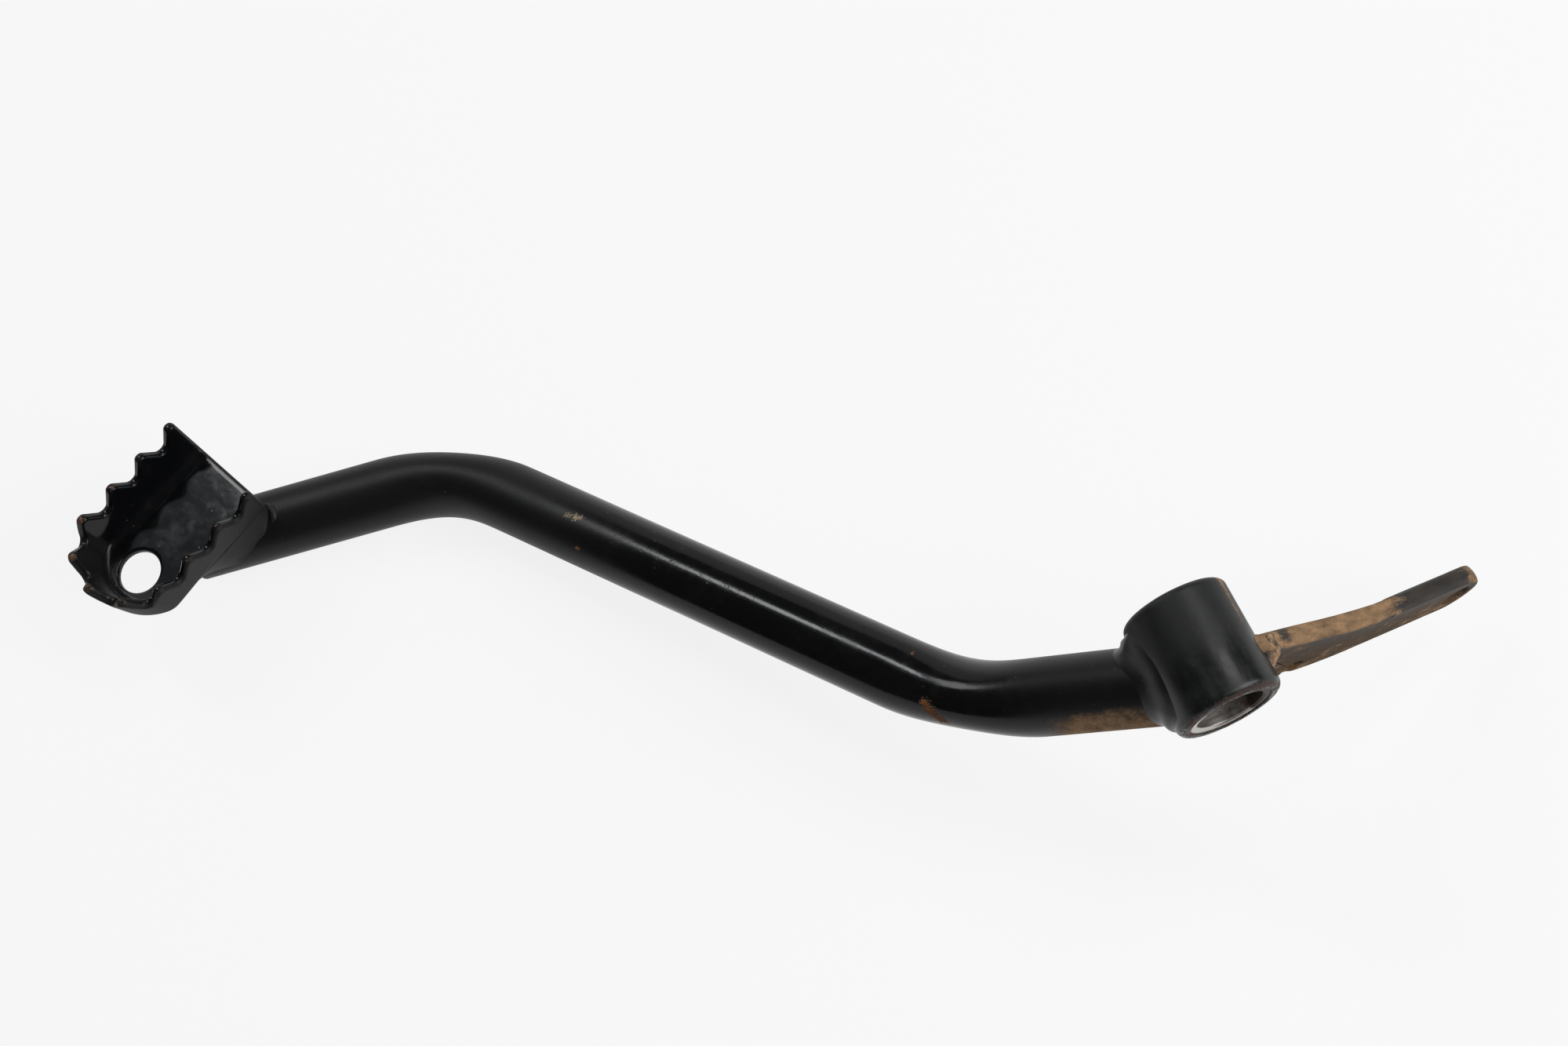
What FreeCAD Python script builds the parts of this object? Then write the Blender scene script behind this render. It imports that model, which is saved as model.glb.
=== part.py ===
import FreeCAD, Part
import math
import os

os.makedirs("parts", exist_ok=True)

# Frame: millimetres, origin on the pivot axis at mid boss, X forward, Y inboard along the axis, Z up

# Pivot boss and its sleeve
boss_diameter = 22.0
boss_length = 24.0
boss_outboard_edge_radius = 1.4
boss_inboard_edge_radius = 1.7
bush_outer_diameter = 17.0
bush_bore = 14.0
bush_recess = 0.3
bush_chamfer = 0.4

# Arm, a round tube that leaves the pivot axis and turns twice
tube_diameter = 16.0
tube_wall = 2.0
arm_root_inboard = 4.8
rear_bend_forward = 43.0
rear_bend_outboard = 19.5
rear_bend_drop = 25.5
rear_bend_radius = 70.0
front_bend_forward = 123.0
front_bend_outboard = 128.7
front_bend_drop = 46.4
front_bend_radius = 45.0
front_run_length = 64.0
front_run_toe_out = 11.8
bend_flattening = 0.12
bend_stations = 5

# Step, a drawn cup with a toothed wall, open at the rear
sheet_thickness = 2.3
step_half_width = 14.7
step_straight_length = 30.4
step_nose_arc_excess = 1.3
step_corner_radius = 7.0
step_nose_reach = 10.5
step_wall_height = 12.2
step_wall_lean_width = 2.0
step_fold_radius = 2.0
step_seat_depth = 0.5
step_turn = 23.5
step_ahead_of_tube_end = 10.6
step_inboard_of_tube = 7.1
drain_hole_diameter = 10.0
drain_hole_offset = 0.3
drain_hole_outboard = 0.6

# Teeth along the wall top
tooth_count_straight = 3
tooth_count_nose = 4
tooth_tip_radius = 1.4
tooth_tip_land_width = 0.2
tooth_root_radius = 1.6
tooth_flank_angle = 55.0

# Rear lever, a flat plate with one slow bend
lever_thickness = 4.0
lever_outer_face = 5.4
lever_angle = 214.0
lever_root_width = 20.0
lever_eye_width = 12.0
lever_taper_distance = 42.0
lever_bend_distance = 26.0
lever_bend_angle = 5.2
lever_bend_radius = 200.0
lever_eye_distance = 67.9
lever_pin_hole = 6.2
spring_hole = 4.6
spring_hole_distance = 23.3
spring_hole_offset = 5.0

# Slack within which two faces count as one in the cuts of the step
cut_tolerance = 0.0001

# Welds
arm_weld_leg_on_tube = 4.8
arm_weld_leg_on_boss = 3.4
arm_weld_fuller_above = 0.5
arm_weld_stations = 28
weld_sink = 0.5
lever_weld_leg_inboard = 3.2
lever_weld_leg_outboard = 1.4
lever_weld_overrun = 3.5
step_weld_leg = 6.7
step_weld_toe_angle = 36.0
step_weld_end_gap = 3.0


def vec(x, y, z):
    return FreeCAD.Vector(x, y, z)


def scaled(v, s):
    return vec(v.x * s, v.y * s, v.z * s)


def unit(v):
    return scaled(v, 1.0 / v.Length)


Y_AXIS = vec(0, 1, 0)
Z_AXIS = vec(0, 0, 1)

boss_radius = boss_diameter / 2
tube_radius = tube_diameter / 2

# Points of the arm's centre line
arm_root = vec(0, arm_root_inboard, 0)
rear_bend = vec(rear_bend_forward, -rear_bend_outboard, -rear_bend_drop)
front_bend = vec(front_bend_forward, -front_bend_outboard, -front_bend_drop)
toe_out = math.radians(front_run_toe_out)
front_direction = vec(math.cos(toe_out), -math.sin(toe_out), 0)
front_side = vec(math.sin(toe_out), math.cos(toe_out), 0)
tube_end = front_bend + scaled(front_direction, front_run_length)
root_direction = unit(rear_bend - arm_root)

# The step's own axes: along from nose to open rear end, across toward the outboard wall
step_yaw = math.radians(step_turn)
step_end_radius = step_half_width + step_nose_arc_excess
step_along = vec(-math.cos(step_yaw), -math.sin(step_yaw), 0)
step_across = vec(math.sin(step_yaw), -math.cos(step_yaw), 0)
floor_underside = -front_bend_drop + tube_radius - step_seat_depth
floor_top = floor_underside + sheet_thickness
step_centre = (tube_end + scaled(front_direction, step_ahead_of_tube_end)
               + scaled(front_side, step_inboard_of_tube))


def step_point(along, across, height):
    """A point given in the step's own axes, with height measured from the top of its floor."""
    p = step_centre + scaled(step_along, along) + scaled(step_across, across)
    return vec(p.x, p.y, floor_top + height)


def corner_arc(start, through_centre, end, radius):
    """Quarter arc from start to end about a centre."""
    mid = through_centre + scaled(unit(start + end - scaled(through_centre, 2)), radius)
    return Part.Arc(start, mid, end).toShape()


def make_boss():
    """Thick-walled cylinder with rounded rims, bored for the sleeve."""
    half = boss_length / 2
    inner = bush_outer_diameter / 2
    low, high = boss_outboard_edge_radius, boss_inboard_edge_radius
    a, b = vec(inner, -half, 0), vec(boss_radius - low, -half, 0)
    c, d = vec(boss_radius, low - half, 0), vec(boss_radius, half - high, 0)
    e, f = vec(boss_radius - high, half, 0), vec(inner, half, 0)
    edges = [
        Part.makeLine(a, b),
        corner_arc(b, vec(boss_radius - low, low - half, 0), c, low),
        Part.makeLine(c, d),
        corner_arc(d, vec(boss_radius - high, half - high, 0), e, high),
        Part.makeLine(e, f),
        Part.makeLine(f, a),
    ]
    return Part.Face(Part.Wire(edges)).revolve(vec(0, 0, 0), Y_AXIS, 360)


def make_bush():
    """Plain sleeve seated in the boss, a little short of both ends and chamfered inside."""
    half = boss_length / 2 - bush_recess
    outer, inner, c = bush_outer_diameter / 2, bush_bore / 2, bush_chamfer
    section = [vec(inner + c, -half, 0), vec(outer, -half, 0), vec(outer, half, 0), vec(inner + c, half, 0),
               vec(inner, half - c, 0), vec(inner, c - half, 0)]
    return Part.Face(Part.makePolygon(section + section[:1])).revolve(vec(0, 0, 0), Y_AXIS, 360)


def bend_geometry(before, corner, after, radius):
    """Start, end, centre and directions of the arc that rounds one corner of the centre line."""
    d_in = unit(corner - before)
    d_out = unit(after - corner)
    angle = d_in.getAngle(d_out)
    setback = radius * math.tan(angle / 2)
    start = corner - scaled(d_in, setback)
    end = corner + scaled(d_out, setback)
    inward = unit(d_out - scaled(d_in, d_in.dot(d_out)))
    centre = start + scaled(inward, radius)
    return start, end, centre, d_in, inward, angle


def tube_section(middle, across, out, radius, squeeze, seam):
    """Section of the tube, oval where squeezed, whose edge starts at a seam angle from across."""
    if squeeze < 1e-6:
        ring = Part.Circle(middle, unit(across.cross(out)), radius)
        ring.XAxis = across
    else:
        wide, narrow = radius * (1 + squeeze / 2), radius * (1 - squeeze)
        ring = Part.Ellipse(middle + scaled(across, wide), middle + scaled(out, narrow), middle)
    return Part.Wire(ring.toShape(seam, seam + 2 * math.pi))


def bend_sections(bend, bend_radius, section_radius, seam):
    """Sections along one bend, flattened most in the middle of the bend."""
    start, end, centre, d_in, inward, angle = bend
    across = unit(d_in.cross(inward))
    sections = []
    for i in range(bend_stations):
        share = i / (bend_stations - 1)
        turn = angle * share
        squeeze = bend_flattening * math.sin(math.pi * share) ** 2
        out = scaled(d_in, math.sin(turn)) - scaled(inward, math.cos(turn))
        middle = centre + scaled(out, bend_radius)
        sections.append(tube_section(middle, across, out, section_radius, squeeze, seam))
    return sections


def straight_solid(start, end, section_radius):
    """Straight length of tube, filled."""
    return Part.makeCylinder(section_radius, (end - start).Length, start, end - start)


def sewn_solid(faces):
    """Closed solid from faces that share their edges."""
    shell = Part.makeShell(faces)
    shell.sewShape()
    solid = Part.makeSolid(shell)
    if solid.Volume < 0:
        solid.reverse()
    return solid


def side_faces(solid):
    """The faces of a length of bar without its two flat ends."""
    return [face for face in solid.Faces if not isinstance(face.Surface, Part.Plane)]


def arm_solid(section_radius, past_end):
    """The whole arm as a filled bar of the given radius, before its ends are trimmed."""
    far_end = tube_end + scaled(front_direction, past_end)
    rear = bend_geometry(arm_root, rear_bend, front_bend, rear_bend_radius)
    front = bend_geometry(rear_bend, front_bend, tube_end, front_bend_radius)
    rear_across = unit(rear[3].cross(rear[4]))
    front_across = unit(front[3].cross(front[4]))
    front_out = scaled(front[4], -1)
    seam = math.atan2(rear_across.dot(front_out), rear_across.dot(front_across))
    last_out = scaled(front_across.cross(front_direction), -1)
    rear_sections = bend_sections(rear, rear_bend_radius, section_radius, 0.0)
    front_sections = bend_sections(front, front_bend_radius, section_radius, seam)
    first = tube_section(arm_root, rear_across, scaled(rear[4], -1), section_radius, 0.0, 0.0)
    last = tube_section(far_end, front_across, last_out, section_radius, 0.0, seam)
    faces = [Part.Face(first), Part.Face(last)]
    faces += first.extrude(rear[0] - arm_root).Faces
    faces += side_faces(Part.makeLoft(rear_sections, True, False))
    faces += rear_sections[-1].extrude(front[0] - rear[1]).Faces
    faces += side_faces(Part.makeLoft(front_sections, True, False))
    faces += front_sections[-1].extrude(far_end - front[1]).Faces
    return sewn_solid(faces)


def make_arm():
    """Tube arm, coped round the boss and with a flat seat for the step."""
    tube = arm_solid(tube_radius, 0).cut(arm_solid(tube_radius - tube_wall, 1))
    cope = Part.makeCylinder(boss_radius, 8 * boss_length, vec(0, -4 * boss_length, 0), Y_AXIS)
    reach = 4 * step_straight_length
    seat = Part.makeBox(reach, reach, tube_diameter, vec(-reach, -reach / 2, 0))
    seat.rotate(vec(0, 0, 0), Z_AXIS, 180 + step_turn)
    seat.translate(step_point(step_straight_length, 0, -sheet_thickness))
    return tube.cut(cope).cut(seat)


def step_outline(inset, height, rear):
    """Outline of the step seen from above, set in from its outer top edge and open at the rear."""
    w = step_half_width - inset
    rc = step_corner_radius - inset
    re = step_end_radius - inset
    end_centre = step_end_radius - step_nose_reach
    gap = step_end_radius - step_corner_radius
    side = step_half_width - step_corner_radius
    corner = end_centre - math.sqrt(gap ** 2 - side ** 2)
    lean = math.atan2(end_centre - corner, side)
    tip_a = end_centre - re * math.sin(lean)
    tip_c = re * math.cos(lean)
    mid_a = corner - rc * math.sin(lean / 2)
    mid_c = side + rc * math.cos(lean / 2)

    def p(a, c):
        return step_point(a, c, height)

    return [
        Part.makeLine(p(rear, -w), p(corner, -w)),
        Part.Arc(p(corner, -w), p(mid_a, -mid_c), p(tip_a, -tip_c)).toShape(),
        Part.Arc(p(tip_a, -tip_c), p(end_centre - re, 0), p(tip_a, tip_c)).toShape(),
        Part.Arc(p(tip_a, tip_c), p(mid_a, mid_c), p(corner, w)).toShape(),
        Part.makeLine(p(corner, w), p(rear, w)),
    ]


def step_block(inset, bottom, fold, rear):
    """Filled drafted block with a rounded bottom edge, for the outside or inside of the step."""
    full = step_wall_height + sheet_thickness
    wires = []
    for height, extra in ((bottom, step_wall_lean_width * (step_wall_height - bottom) / full),
                          (step_wall_height, 0.0)):
        edges = step_outline(inset + extra, height, rear)
        edges.append(Part.makeLine(edges[-1].Vertexes[-1].Point, edges[0].Vertexes[0].Point))
        wires.append(Part.Wire(edges))
    block = Part.makeLoft(wires, True, True)
    level = floor_top + bottom
    rear_edge = step_point(rear, 0, bottom)
    keep = []
    for edge in block.Edges:
        middle = edge.CenterOfMass
        on_bottom = abs(edge.BoundBox.ZMin - level) < 1e-4 and abs(edge.BoundBox.ZMax - level) < 1e-4
        at_rear = abs((middle - rear_edge).dot(step_along)) < 1e-3
        if on_bottom and not at_rear:
            keep.append(edge)
    return block.makeFillet(fold, keep)


def tooth_cutter(point, outward, pitch):
    """Rounded V notch that cuts one valley between two teeth, pointing through the wall."""
    flank = math.radians(tooth_flank_angle)
    rt, rv = tooth_tip_radius, tooth_root_radius
    reach = (pitch - tooth_tip_land_width) / 2
    run = (reach - (rt + rv) * math.sin(flank)) / math.cos(flank)
    depth = (rt + rv) * (1 - math.cos(flank)) + run * math.sin(flank)
    sideways = unit(Z_AXIS.cross(outward))
    inner = point - scaled(outward, 3 * sheet_thickness)
    half = flank / 2

    def p(s, z):
        q = inner + scaled(sideways, s)
        return vec(q.x, q.y, floor_top + step_wall_height + z)

    def tip(sign):
        a = p(sign * reach, 0)
        b = p(sign * (reach - rt * math.sin(half)), -rt * (1 - math.cos(half)))
        c = p(sign * (reach - rt * math.sin(flank)), -rt * (1 - math.cos(flank)))
        return a, b, c

    left, right = tip(-1), tip(1)
    root_x = rv * math.sin(flank)
    root_z = -depth + rv * (1 - math.cos(flank))
    edges = [
        Part.Arc(left[0], left[1], left[2]).toShape(),
        Part.makeLine(left[2], p(-root_x, root_z)),
        Part.Arc(p(-root_x, root_z), p(0, -depth), p(root_x, root_z)).toShape(),
        Part.makeLine(p(root_x, root_z), right[2]),
        Part.Arc(right[2], right[1], right[0]).toShape(),
        Part.makeLine(right[0], p(reach, depth)),
        Part.makeLine(p(reach, depth), p(-reach, depth)),
        Part.makeLine(p(-reach, depth), left[0]),
    ]
    return Part.Face(Part.Wire(edges)).extrude(scaled(outward, 6 * sheet_thickness))


def end_rounder(point, outward, toward_rear):
    """Block that rounds the top corner where the wall stops at the open rear end."""
    r = tooth_tip_radius
    inner = point - scaled(outward, 3 * sheet_thickness)

    def p(s, z):
        q = inner + scaled(toward_rear, s)
        return vec(q.x, q.y, floor_top + step_wall_height + z)

    bulge = r * (1 - math.sqrt(0.5))
    edges = [
        Part.Arc(p(-r, 0), p(-bulge, -bulge), p(0, -r)).toShape(),
        Part.makeLine(p(0, -r), p(r, -r)),
        Part.makeLine(p(r, -r), p(r, r)),
        Part.makeLine(p(r, r), p(-r, r)),
        Part.makeLine(p(-r, r), p(-r, 0)),
    ]
    return Part.Face(Part.Wire(edges)).extrude(scaled(outward, 6 * sheet_thickness))


def wall_path():
    """Middle of the wall top as one list of edges with the length of each."""
    return [(edge, edge.Length) for edge in step_outline(sheet_thickness / 2, step_wall_height,
                                                            step_straight_length)]


def path_place(path, distance):
    """Point and outward direction at a distance along the wall top."""
    left = distance
    for edge, length in path:
        if left <= length + 1e-9:
            at = edge.getParameterByLength(min(max(left, 0.0), length))
            tangent = unit(edge.tangentAt(at))
            if edge.valueAt(edge.FirstParameter).distanceToPoint(edge.Vertexes[0].Point) > 1e-6:
                tangent = scaled(tangent, -1)
            return edge.valueAt(at), unit(tangent.cross(Z_AXIS))
        left -= length
    raise ValueError("the distance runs past the end of the wall")


def tooth_places():
    """Distance and pitch of each valley, from one rear end of the wall round to the other."""
    path = wall_path()
    total = sum(length for edge, length in path)
    straight = path[0][1] - tooth_tip_radius
    side_pitch = straight / tooth_count_straight
    nose_pitch = (total - 2 * tooth_tip_radius - 2 * straight) / tooth_count_nose
    places = []
    for i in range(tooth_count_straight):
        places.append((tooth_tip_radius + (i + 0.5) * side_pitch, side_pitch))
    for i in range(tooth_count_nose):
        places.append((tooth_tip_radius + straight + (i + 0.5) * nose_pitch, nose_pitch))
    for i in range(tooth_count_straight):
        places.append((total - tooth_tip_radius - (i + 0.5) * side_pitch, side_pitch))
    return path, places


def make_step():
    """Drawn cup: floor, folded wall, teeth and drain hole."""
    rear = step_straight_length
    cup = step_block(0.0, -sheet_thickness, step_fold_radius + sheet_thickness, rear)
    cup = cup.cut([step_block(sheet_thickness, 0.0, step_fold_radius, rear + sheet_thickness)],
                  cut_tolerance)
    path, places = tooth_places()
    for distance, pitch in places:
        point, outward = path_place(path, distance)
        cup = cup.cut([tooth_cutter(point, outward, pitch)], cut_tolerance)
    for side in (-1, 1):
        end = step_point(step_straight_length, side * step_half_width, 0)
        cup = cup.cut([end_rounder(end, scaled(step_across, side), step_along)], cut_tolerance)
    drain = Part.makeCylinder(drain_hole_diameter / 2, 4 * sheet_thickness,
                              step_point(drain_hole_offset, drain_hole_outboard,
                                         -3 * sheet_thickness), Z_AXIS)
    return cup.cut([drain], cut_tolerance)


lever_rad = math.radians(lever_angle)
lever_out = vec(math.cos(lever_rad), 0, math.sin(lever_rad))
lever_side = vec(-math.sin(lever_rad), 0, math.cos(lever_rad))


def lever_point(along, side, inboard):
    """A point given along the lever, sideways across it and along the pivot axis."""
    p = scaled(lever_out, along) + scaled(lever_side, side)
    return vec(p.x, inboard, p.z)


def lever_bend():
    """Start of the bent end of the lever on its outboard face, its direction and the way its face looks."""
    lift = math.radians(lever_bend_angle)
    along = lever_bend_distance + lever_bend_radius * math.sin(lift)
    drop = lever_bend_radius * (1 - math.cos(lift))
    start = lever_point(along, 0, lever_outer_face - lever_thickness - drop)
    tip_dir = scaled(lever_out, math.cos(lift)) - scaled(Y_AXIS, math.sin(lift))
    tip_up = scaled(lever_out, math.sin(lift)) + scaled(Y_AXIS, math.cos(lift))
    eye = start + scaled(tip_dir, (lever_eye_distance - along) / math.cos(lift))
    return start, tip_dir, tip_up, eye


def lever_blank():
    """Outline of the lever seen along the pivot axis, tapered and round at the eye, made deep."""
    half, root = lever_eye_width / 2, lever_root_width / 2
    taper, far = lever_taper_distance, lever_eye_distance
    deep = 2 * boss_length

    def p(along, side):
        return lever_point(along, side, -deep)

    edges = [
        Part.makeLine(p(0, -root), p(taper, -half)),
        Part.makeLine(p(taper, -half), p(far, -half)),
        Part.Arc(p(far, -half), p(far + half, 0), p(far, half)).toShape(),
        Part.makeLine(p(far, half), p(taper, half)),
        Part.makeLine(p(taper, half), p(0, root)),
        Part.makeLine(p(0, root), p(0, -root)),
    ]
    return Part.Face(Part.Wire(edges)).extrude(scaled(Y_AXIS, 2 * deep))


def lever_strip():
    """Strip of the plate's thickness, straight, then bent slowly outboard, then straight, made wide."""
    low, top = lever_outer_face - lever_thickness, lever_outer_face
    start, tip_dir, tip_up, eye = lever_bend()
    half_turn = math.radians(lever_bend_angle) / 2
    hinge = low - lever_bend_radius

    def arc_middle(radius):
        return lever_point(lever_bend_distance + radius * math.sin(half_turn), 0,
                           hinge + radius * math.cos(half_turn))

    a, b = lever_point(0, 0, low), lever_point(lever_bend_distance, 0, low)
    c, d = start, eye + scaled(tip_dir, lever_eye_width)
    e, f = d + scaled(tip_up, lever_thickness), c + scaled(tip_up, lever_thickness)
    g, h = lever_point(lever_bend_distance, 0, top), lever_point(0, 0, top)
    edges = [
        Part.makeLine(a, b),
        Part.Arc(b, arc_middle(lever_bend_radius), c).toShape(),
        Part.makeLine(c, d),
        Part.makeLine(d, e),
        Part.makeLine(e, f),
        Part.Arc(f, arc_middle(lever_bend_radius + lever_thickness), g).toShape(),
        Part.makeLine(g, h),
        Part.makeLine(h, a),
    ]
    strip = Part.Face(Part.Wire(edges))
    strip.translate(scaled(lever_side, -lever_root_width))
    return strip.extrude(scaled(lever_side, 2 * lever_root_width))


def make_lever():
    """Flat plate that tapers from the boss, bends slowly outboard and ends in a round eye."""
    start, tip_dir, tip_up, eye = lever_bend()
    low = lever_outer_face - lever_thickness
    plate = lever_blank().common(lever_strip())
    pin = Part.makeCylinder(lever_pin_hole / 2, 4 * lever_thickness,
                            eye - scaled(tip_up, 1.5 * lever_thickness), tip_up)
    spring = Part.makeCylinder(spring_hole / 2, 4 * lever_thickness,
                               lever_point(spring_hole_distance, spring_hole_offset,
                                           low - lever_thickness), Y_AXIS)
    boss = Part.makeCylinder(boss_radius, 4 * boss_length, vec(0, -2 * boss_length, 0), Y_AXIS)
    return plate.cut([pin, spring, boss])


def tube_on_cylinder(turn, tube_r, cyl_r, first, second):
    """Where a line along the arm's root, at a turn round the tube, meets a cylinder on the pivot axis."""
    start = arm_root + scaled(first, tube_r * math.cos(turn)) + scaled(second, tube_r * math.sin(turn))
    d = root_direction
    a = d.x ** 2 + d.z ** 2
    b = start.x * d.x + start.z * d.z
    c = start.x ** 2 + start.z ** 2 - cyl_r ** 2
    t = (-b + math.sqrt(max(b * b - a * c, 0.0))) / a
    return start + scaled(d, t)


def boss_toe(joint, outward, leg):
    """Where a toe of the weld lies on the boss, a leg away from the joint and away from the tube."""
    facing = unit(vec(joint.x, 0, joint.z))
    along = unit(outward - scaled(facing, outward.dot(facing)))
    p = joint + scaled(along, leg)
    round_boss = scaled(unit(vec(p.x, 0, p.z)), boss_radius - weld_sink)
    return vec(round_boss.x, p.y, round_boss.z)


def closed_curve(points):
    """Smooth closed curve through points."""
    curve = Part.BSplineCurve()
    curve.interpolate(points, PeriodicFlag=True)
    return curve.toShape()


def make_arm_weld():
    """Fillet weld round the coped end of the tube, with one leg on the tube and one on the boss."""
    first = unit(root_direction.cross(Y_AXIS))
    second = unit(root_direction.cross(first))
    on_tube, on_boss, inside = [], [], []
    for i in range(arm_weld_stations):
        turn = 2 * math.pi * i / arm_weld_stations
        joint = tube_on_cylinder(turn, tube_radius - weld_sink, boss_radius, first, second)
        outward = scaled(first, math.cos(turn)) + scaled(second, math.sin(turn))
        leg = arm_weld_leg_on_boss * (1 + arm_weld_fuller_above * outward.z)
        on_tube.append(joint + scaled(root_direction, arm_weld_leg_on_tube))
        on_boss.append(boss_toe(joint, outward, leg))
        inside.append(tube_on_cylinder(turn, tube_radius - tube_wall / 2,
                                       boss_radius - 2 * weld_sink, first, second))
    a, b, c = closed_curve(on_tube), closed_curve(on_boss), closed_curve(inside)
    faces = [Part.makeRuledSurface(a, b), Part.makeRuledSurface(b, c), Part.makeRuledSurface(c, a)]
    bead = sewn_solid(faces)
    low = -boss_length / 2 + boss_outboard_edge_radius
    high = boss_length / 2 - boss_inboard_edge_radius
    slab = Part.makeBox(20 * boss_radius, high - low, 20 * boss_radius,
                        vec(-10 * boss_radius, low, -10 * boss_radius))
    boss = Part.makeCylinder(boss_radius, boss_length, vec(0, -boss_length / 2, 0), Y_AXIS)
    tube = straight_solid(arm_root, rear_bend, tube_radius)
    trimmed = bead.common(slab).cut([boss, tube])
    return max(trimmed.Solids, key=lambda solid: solid.Volume)


def make_lever_weld(lever):
    """Weld round the root of the lever: a fillet on both faces, joined past both edges."""
    top = lever_outer_face
    low = top - lever_thickness
    r = boss_radius
    leg = lever_weld_leg_inboard
    section = [vec(r, low - lever_weld_leg_outboard, 0), vec(r + lever_weld_leg_outboard, low, 0),
               vec(r + leg, low, 0), vec(r + leg, top, 0), vec(r, top + leg, 0)]
    face = Part.Face(Part.makePolygon(section + section[:1]))
    joined = r + lever_weld_leg_outboard
    taper = (lever_root_width - lever_eye_width) / (2 * lever_taper_distance)
    edge = lever_root_width / 2 - taper * joined * math.sqrt(0.5)
    spread = math.degrees(math.asin(min(edge / joined, 0.95))) + lever_weld_overrun
    ring = face.revolve(vec(0, 0, 0), Y_AXIS, 2 * spread)
    ring.rotate(vec(0, 0, 0), Y_AXIS, -lever_angle - spread)
    return ring.cut(lever)


def make_step_weld(step, side):
    """One long fillet between the floor of the step and the tube, on one side of the tube."""
    axis_z = -front_bend_drop
    seat_half = math.sqrt(tube_radius ** 2 - (tube_radius - step_seat_depth) ** 2)
    toe = math.radians(step_weld_toe_angle)
    section = [(seat_half * 0.5, floor_underside), (step_weld_leg, floor_underside),
               (tube_radius * math.cos(toe), axis_z + tube_radius * math.sin(toe)),
               (seat_half * 0.5, axis_z + tube_radius * math.sin(toe))]
    start = tube_end - scaled(front_direction, step_weld_end_gap)
    points = []
    for across, z in section:
        p = start + scaled(front_side, side * across)
        points.append(vec(p.x, p.y, z))
    bead = Part.Face(Part.makePolygon(points + points[:1])).extrude(
        scaled(front_direction, -step_straight_length))
    bar = straight_solid(front_bend, tube_end, tube_radius)
    size = 4 * step_straight_length
    beyond = Part.makeBox(size, size, size, vec(0, -size / 2, -size / 2))
    beyond.rotate(vec(0, 0, 0), Z_AXIS, 180 + step_turn)
    beyond.translate(step_point(step_straight_length - step_weld_end_gap, 0, 0))
    return bead.cut([bar, step, beyond])


def build():
    """All the pieces by node name."""
    boss = make_boss()
    arm = make_arm()
    step = make_step()
    lever = make_lever()
    return {
        "pivot_boss": boss,
        "pivot_bush": make_bush(),
        "pedal_arm": arm,
        "step_cup": step,
        "rear_lever": lever,
        "weld_arm_boss": make_arm_weld(),
        "weld_lever_boss": make_lever_weld(lever),
        "weld_step_inboard": make_step_weld(step, 1),
        "weld_step_outboard": make_step_weld(step, -1),
    }


for name, shape in build().items():
    solids = shape.Solids
    box = shape.BoundBox
    print(name, "valid", shape.isValid(), "solids", len(solids), "volume", round(shape.Volume, 1),
          "x", round(box.XMin, 1), round(box.XMax, 1), "y", round(box.YMin, 1), round(box.YMax, 1),
          "z", round(box.ZMin, 1), round(box.ZMax, 1))
    shape.exportStep("parts/" + name + ".step")
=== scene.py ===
"""Brake pedal of a motorbike: a bent black tube from a pivot boss to a toothed cup, with a flat rear lever.

Lengths in this file are millimetres until a mesh is made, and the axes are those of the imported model:
X forward to the step, Y inboard along the pivot axis, Z up.
"""

import logging
import math
from dataclasses import dataclass, field
from enum import Enum
from typing import Any, Dict, List, Optional, Sequence, Tuple, Union

import bpy
import numpy as np
from mathutils import Matrix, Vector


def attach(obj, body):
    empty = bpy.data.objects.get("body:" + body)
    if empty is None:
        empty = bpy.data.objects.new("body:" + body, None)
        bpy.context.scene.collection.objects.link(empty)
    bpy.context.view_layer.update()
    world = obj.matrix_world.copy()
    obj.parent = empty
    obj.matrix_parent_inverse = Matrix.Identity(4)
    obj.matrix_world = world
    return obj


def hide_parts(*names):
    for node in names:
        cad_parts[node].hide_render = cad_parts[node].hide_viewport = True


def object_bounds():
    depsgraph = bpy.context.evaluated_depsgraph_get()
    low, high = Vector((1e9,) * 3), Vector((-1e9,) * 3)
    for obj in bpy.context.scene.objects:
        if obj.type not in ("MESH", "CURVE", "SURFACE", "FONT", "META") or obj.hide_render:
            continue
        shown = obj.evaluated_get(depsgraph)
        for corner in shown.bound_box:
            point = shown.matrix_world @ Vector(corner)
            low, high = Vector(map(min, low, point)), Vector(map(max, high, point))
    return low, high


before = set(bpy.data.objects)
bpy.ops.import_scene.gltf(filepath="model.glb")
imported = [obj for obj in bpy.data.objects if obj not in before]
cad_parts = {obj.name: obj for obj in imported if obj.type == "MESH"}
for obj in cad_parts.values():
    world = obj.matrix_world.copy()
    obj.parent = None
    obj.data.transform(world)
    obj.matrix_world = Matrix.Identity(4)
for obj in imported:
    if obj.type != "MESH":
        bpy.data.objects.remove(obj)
cad_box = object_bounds()

Array = np.ndarray
Point = Tuple[float, float, float]
Pair = Tuple[float, float]
Range = Tuple[float, float]
Colour = Tuple[float, float, float, float]
Spot = Tuple[float, float, float, float]
Spots = Sequence[Spot]
Swell = Tuple[float, int]

MM = 0.001
BODY = "root"
EVEN: Point = (1.0, 1.0, 1.0)
WHITE: Colour = (1.0, 1.0, 1.0, 1.0)
PIVOT_AXIS = np.array([0.0, 1.0, 0.0])
OFF_AXIS = np.array([1.0, 0.0, 1.0])
UP = np.array([0.0, 0.0, 1.0])

# Points in the same cell become one, and the shift keeps round numbers off the cells' borders
SEW_CELL = 0.002
SEW_SHIFT = 0.317

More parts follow.
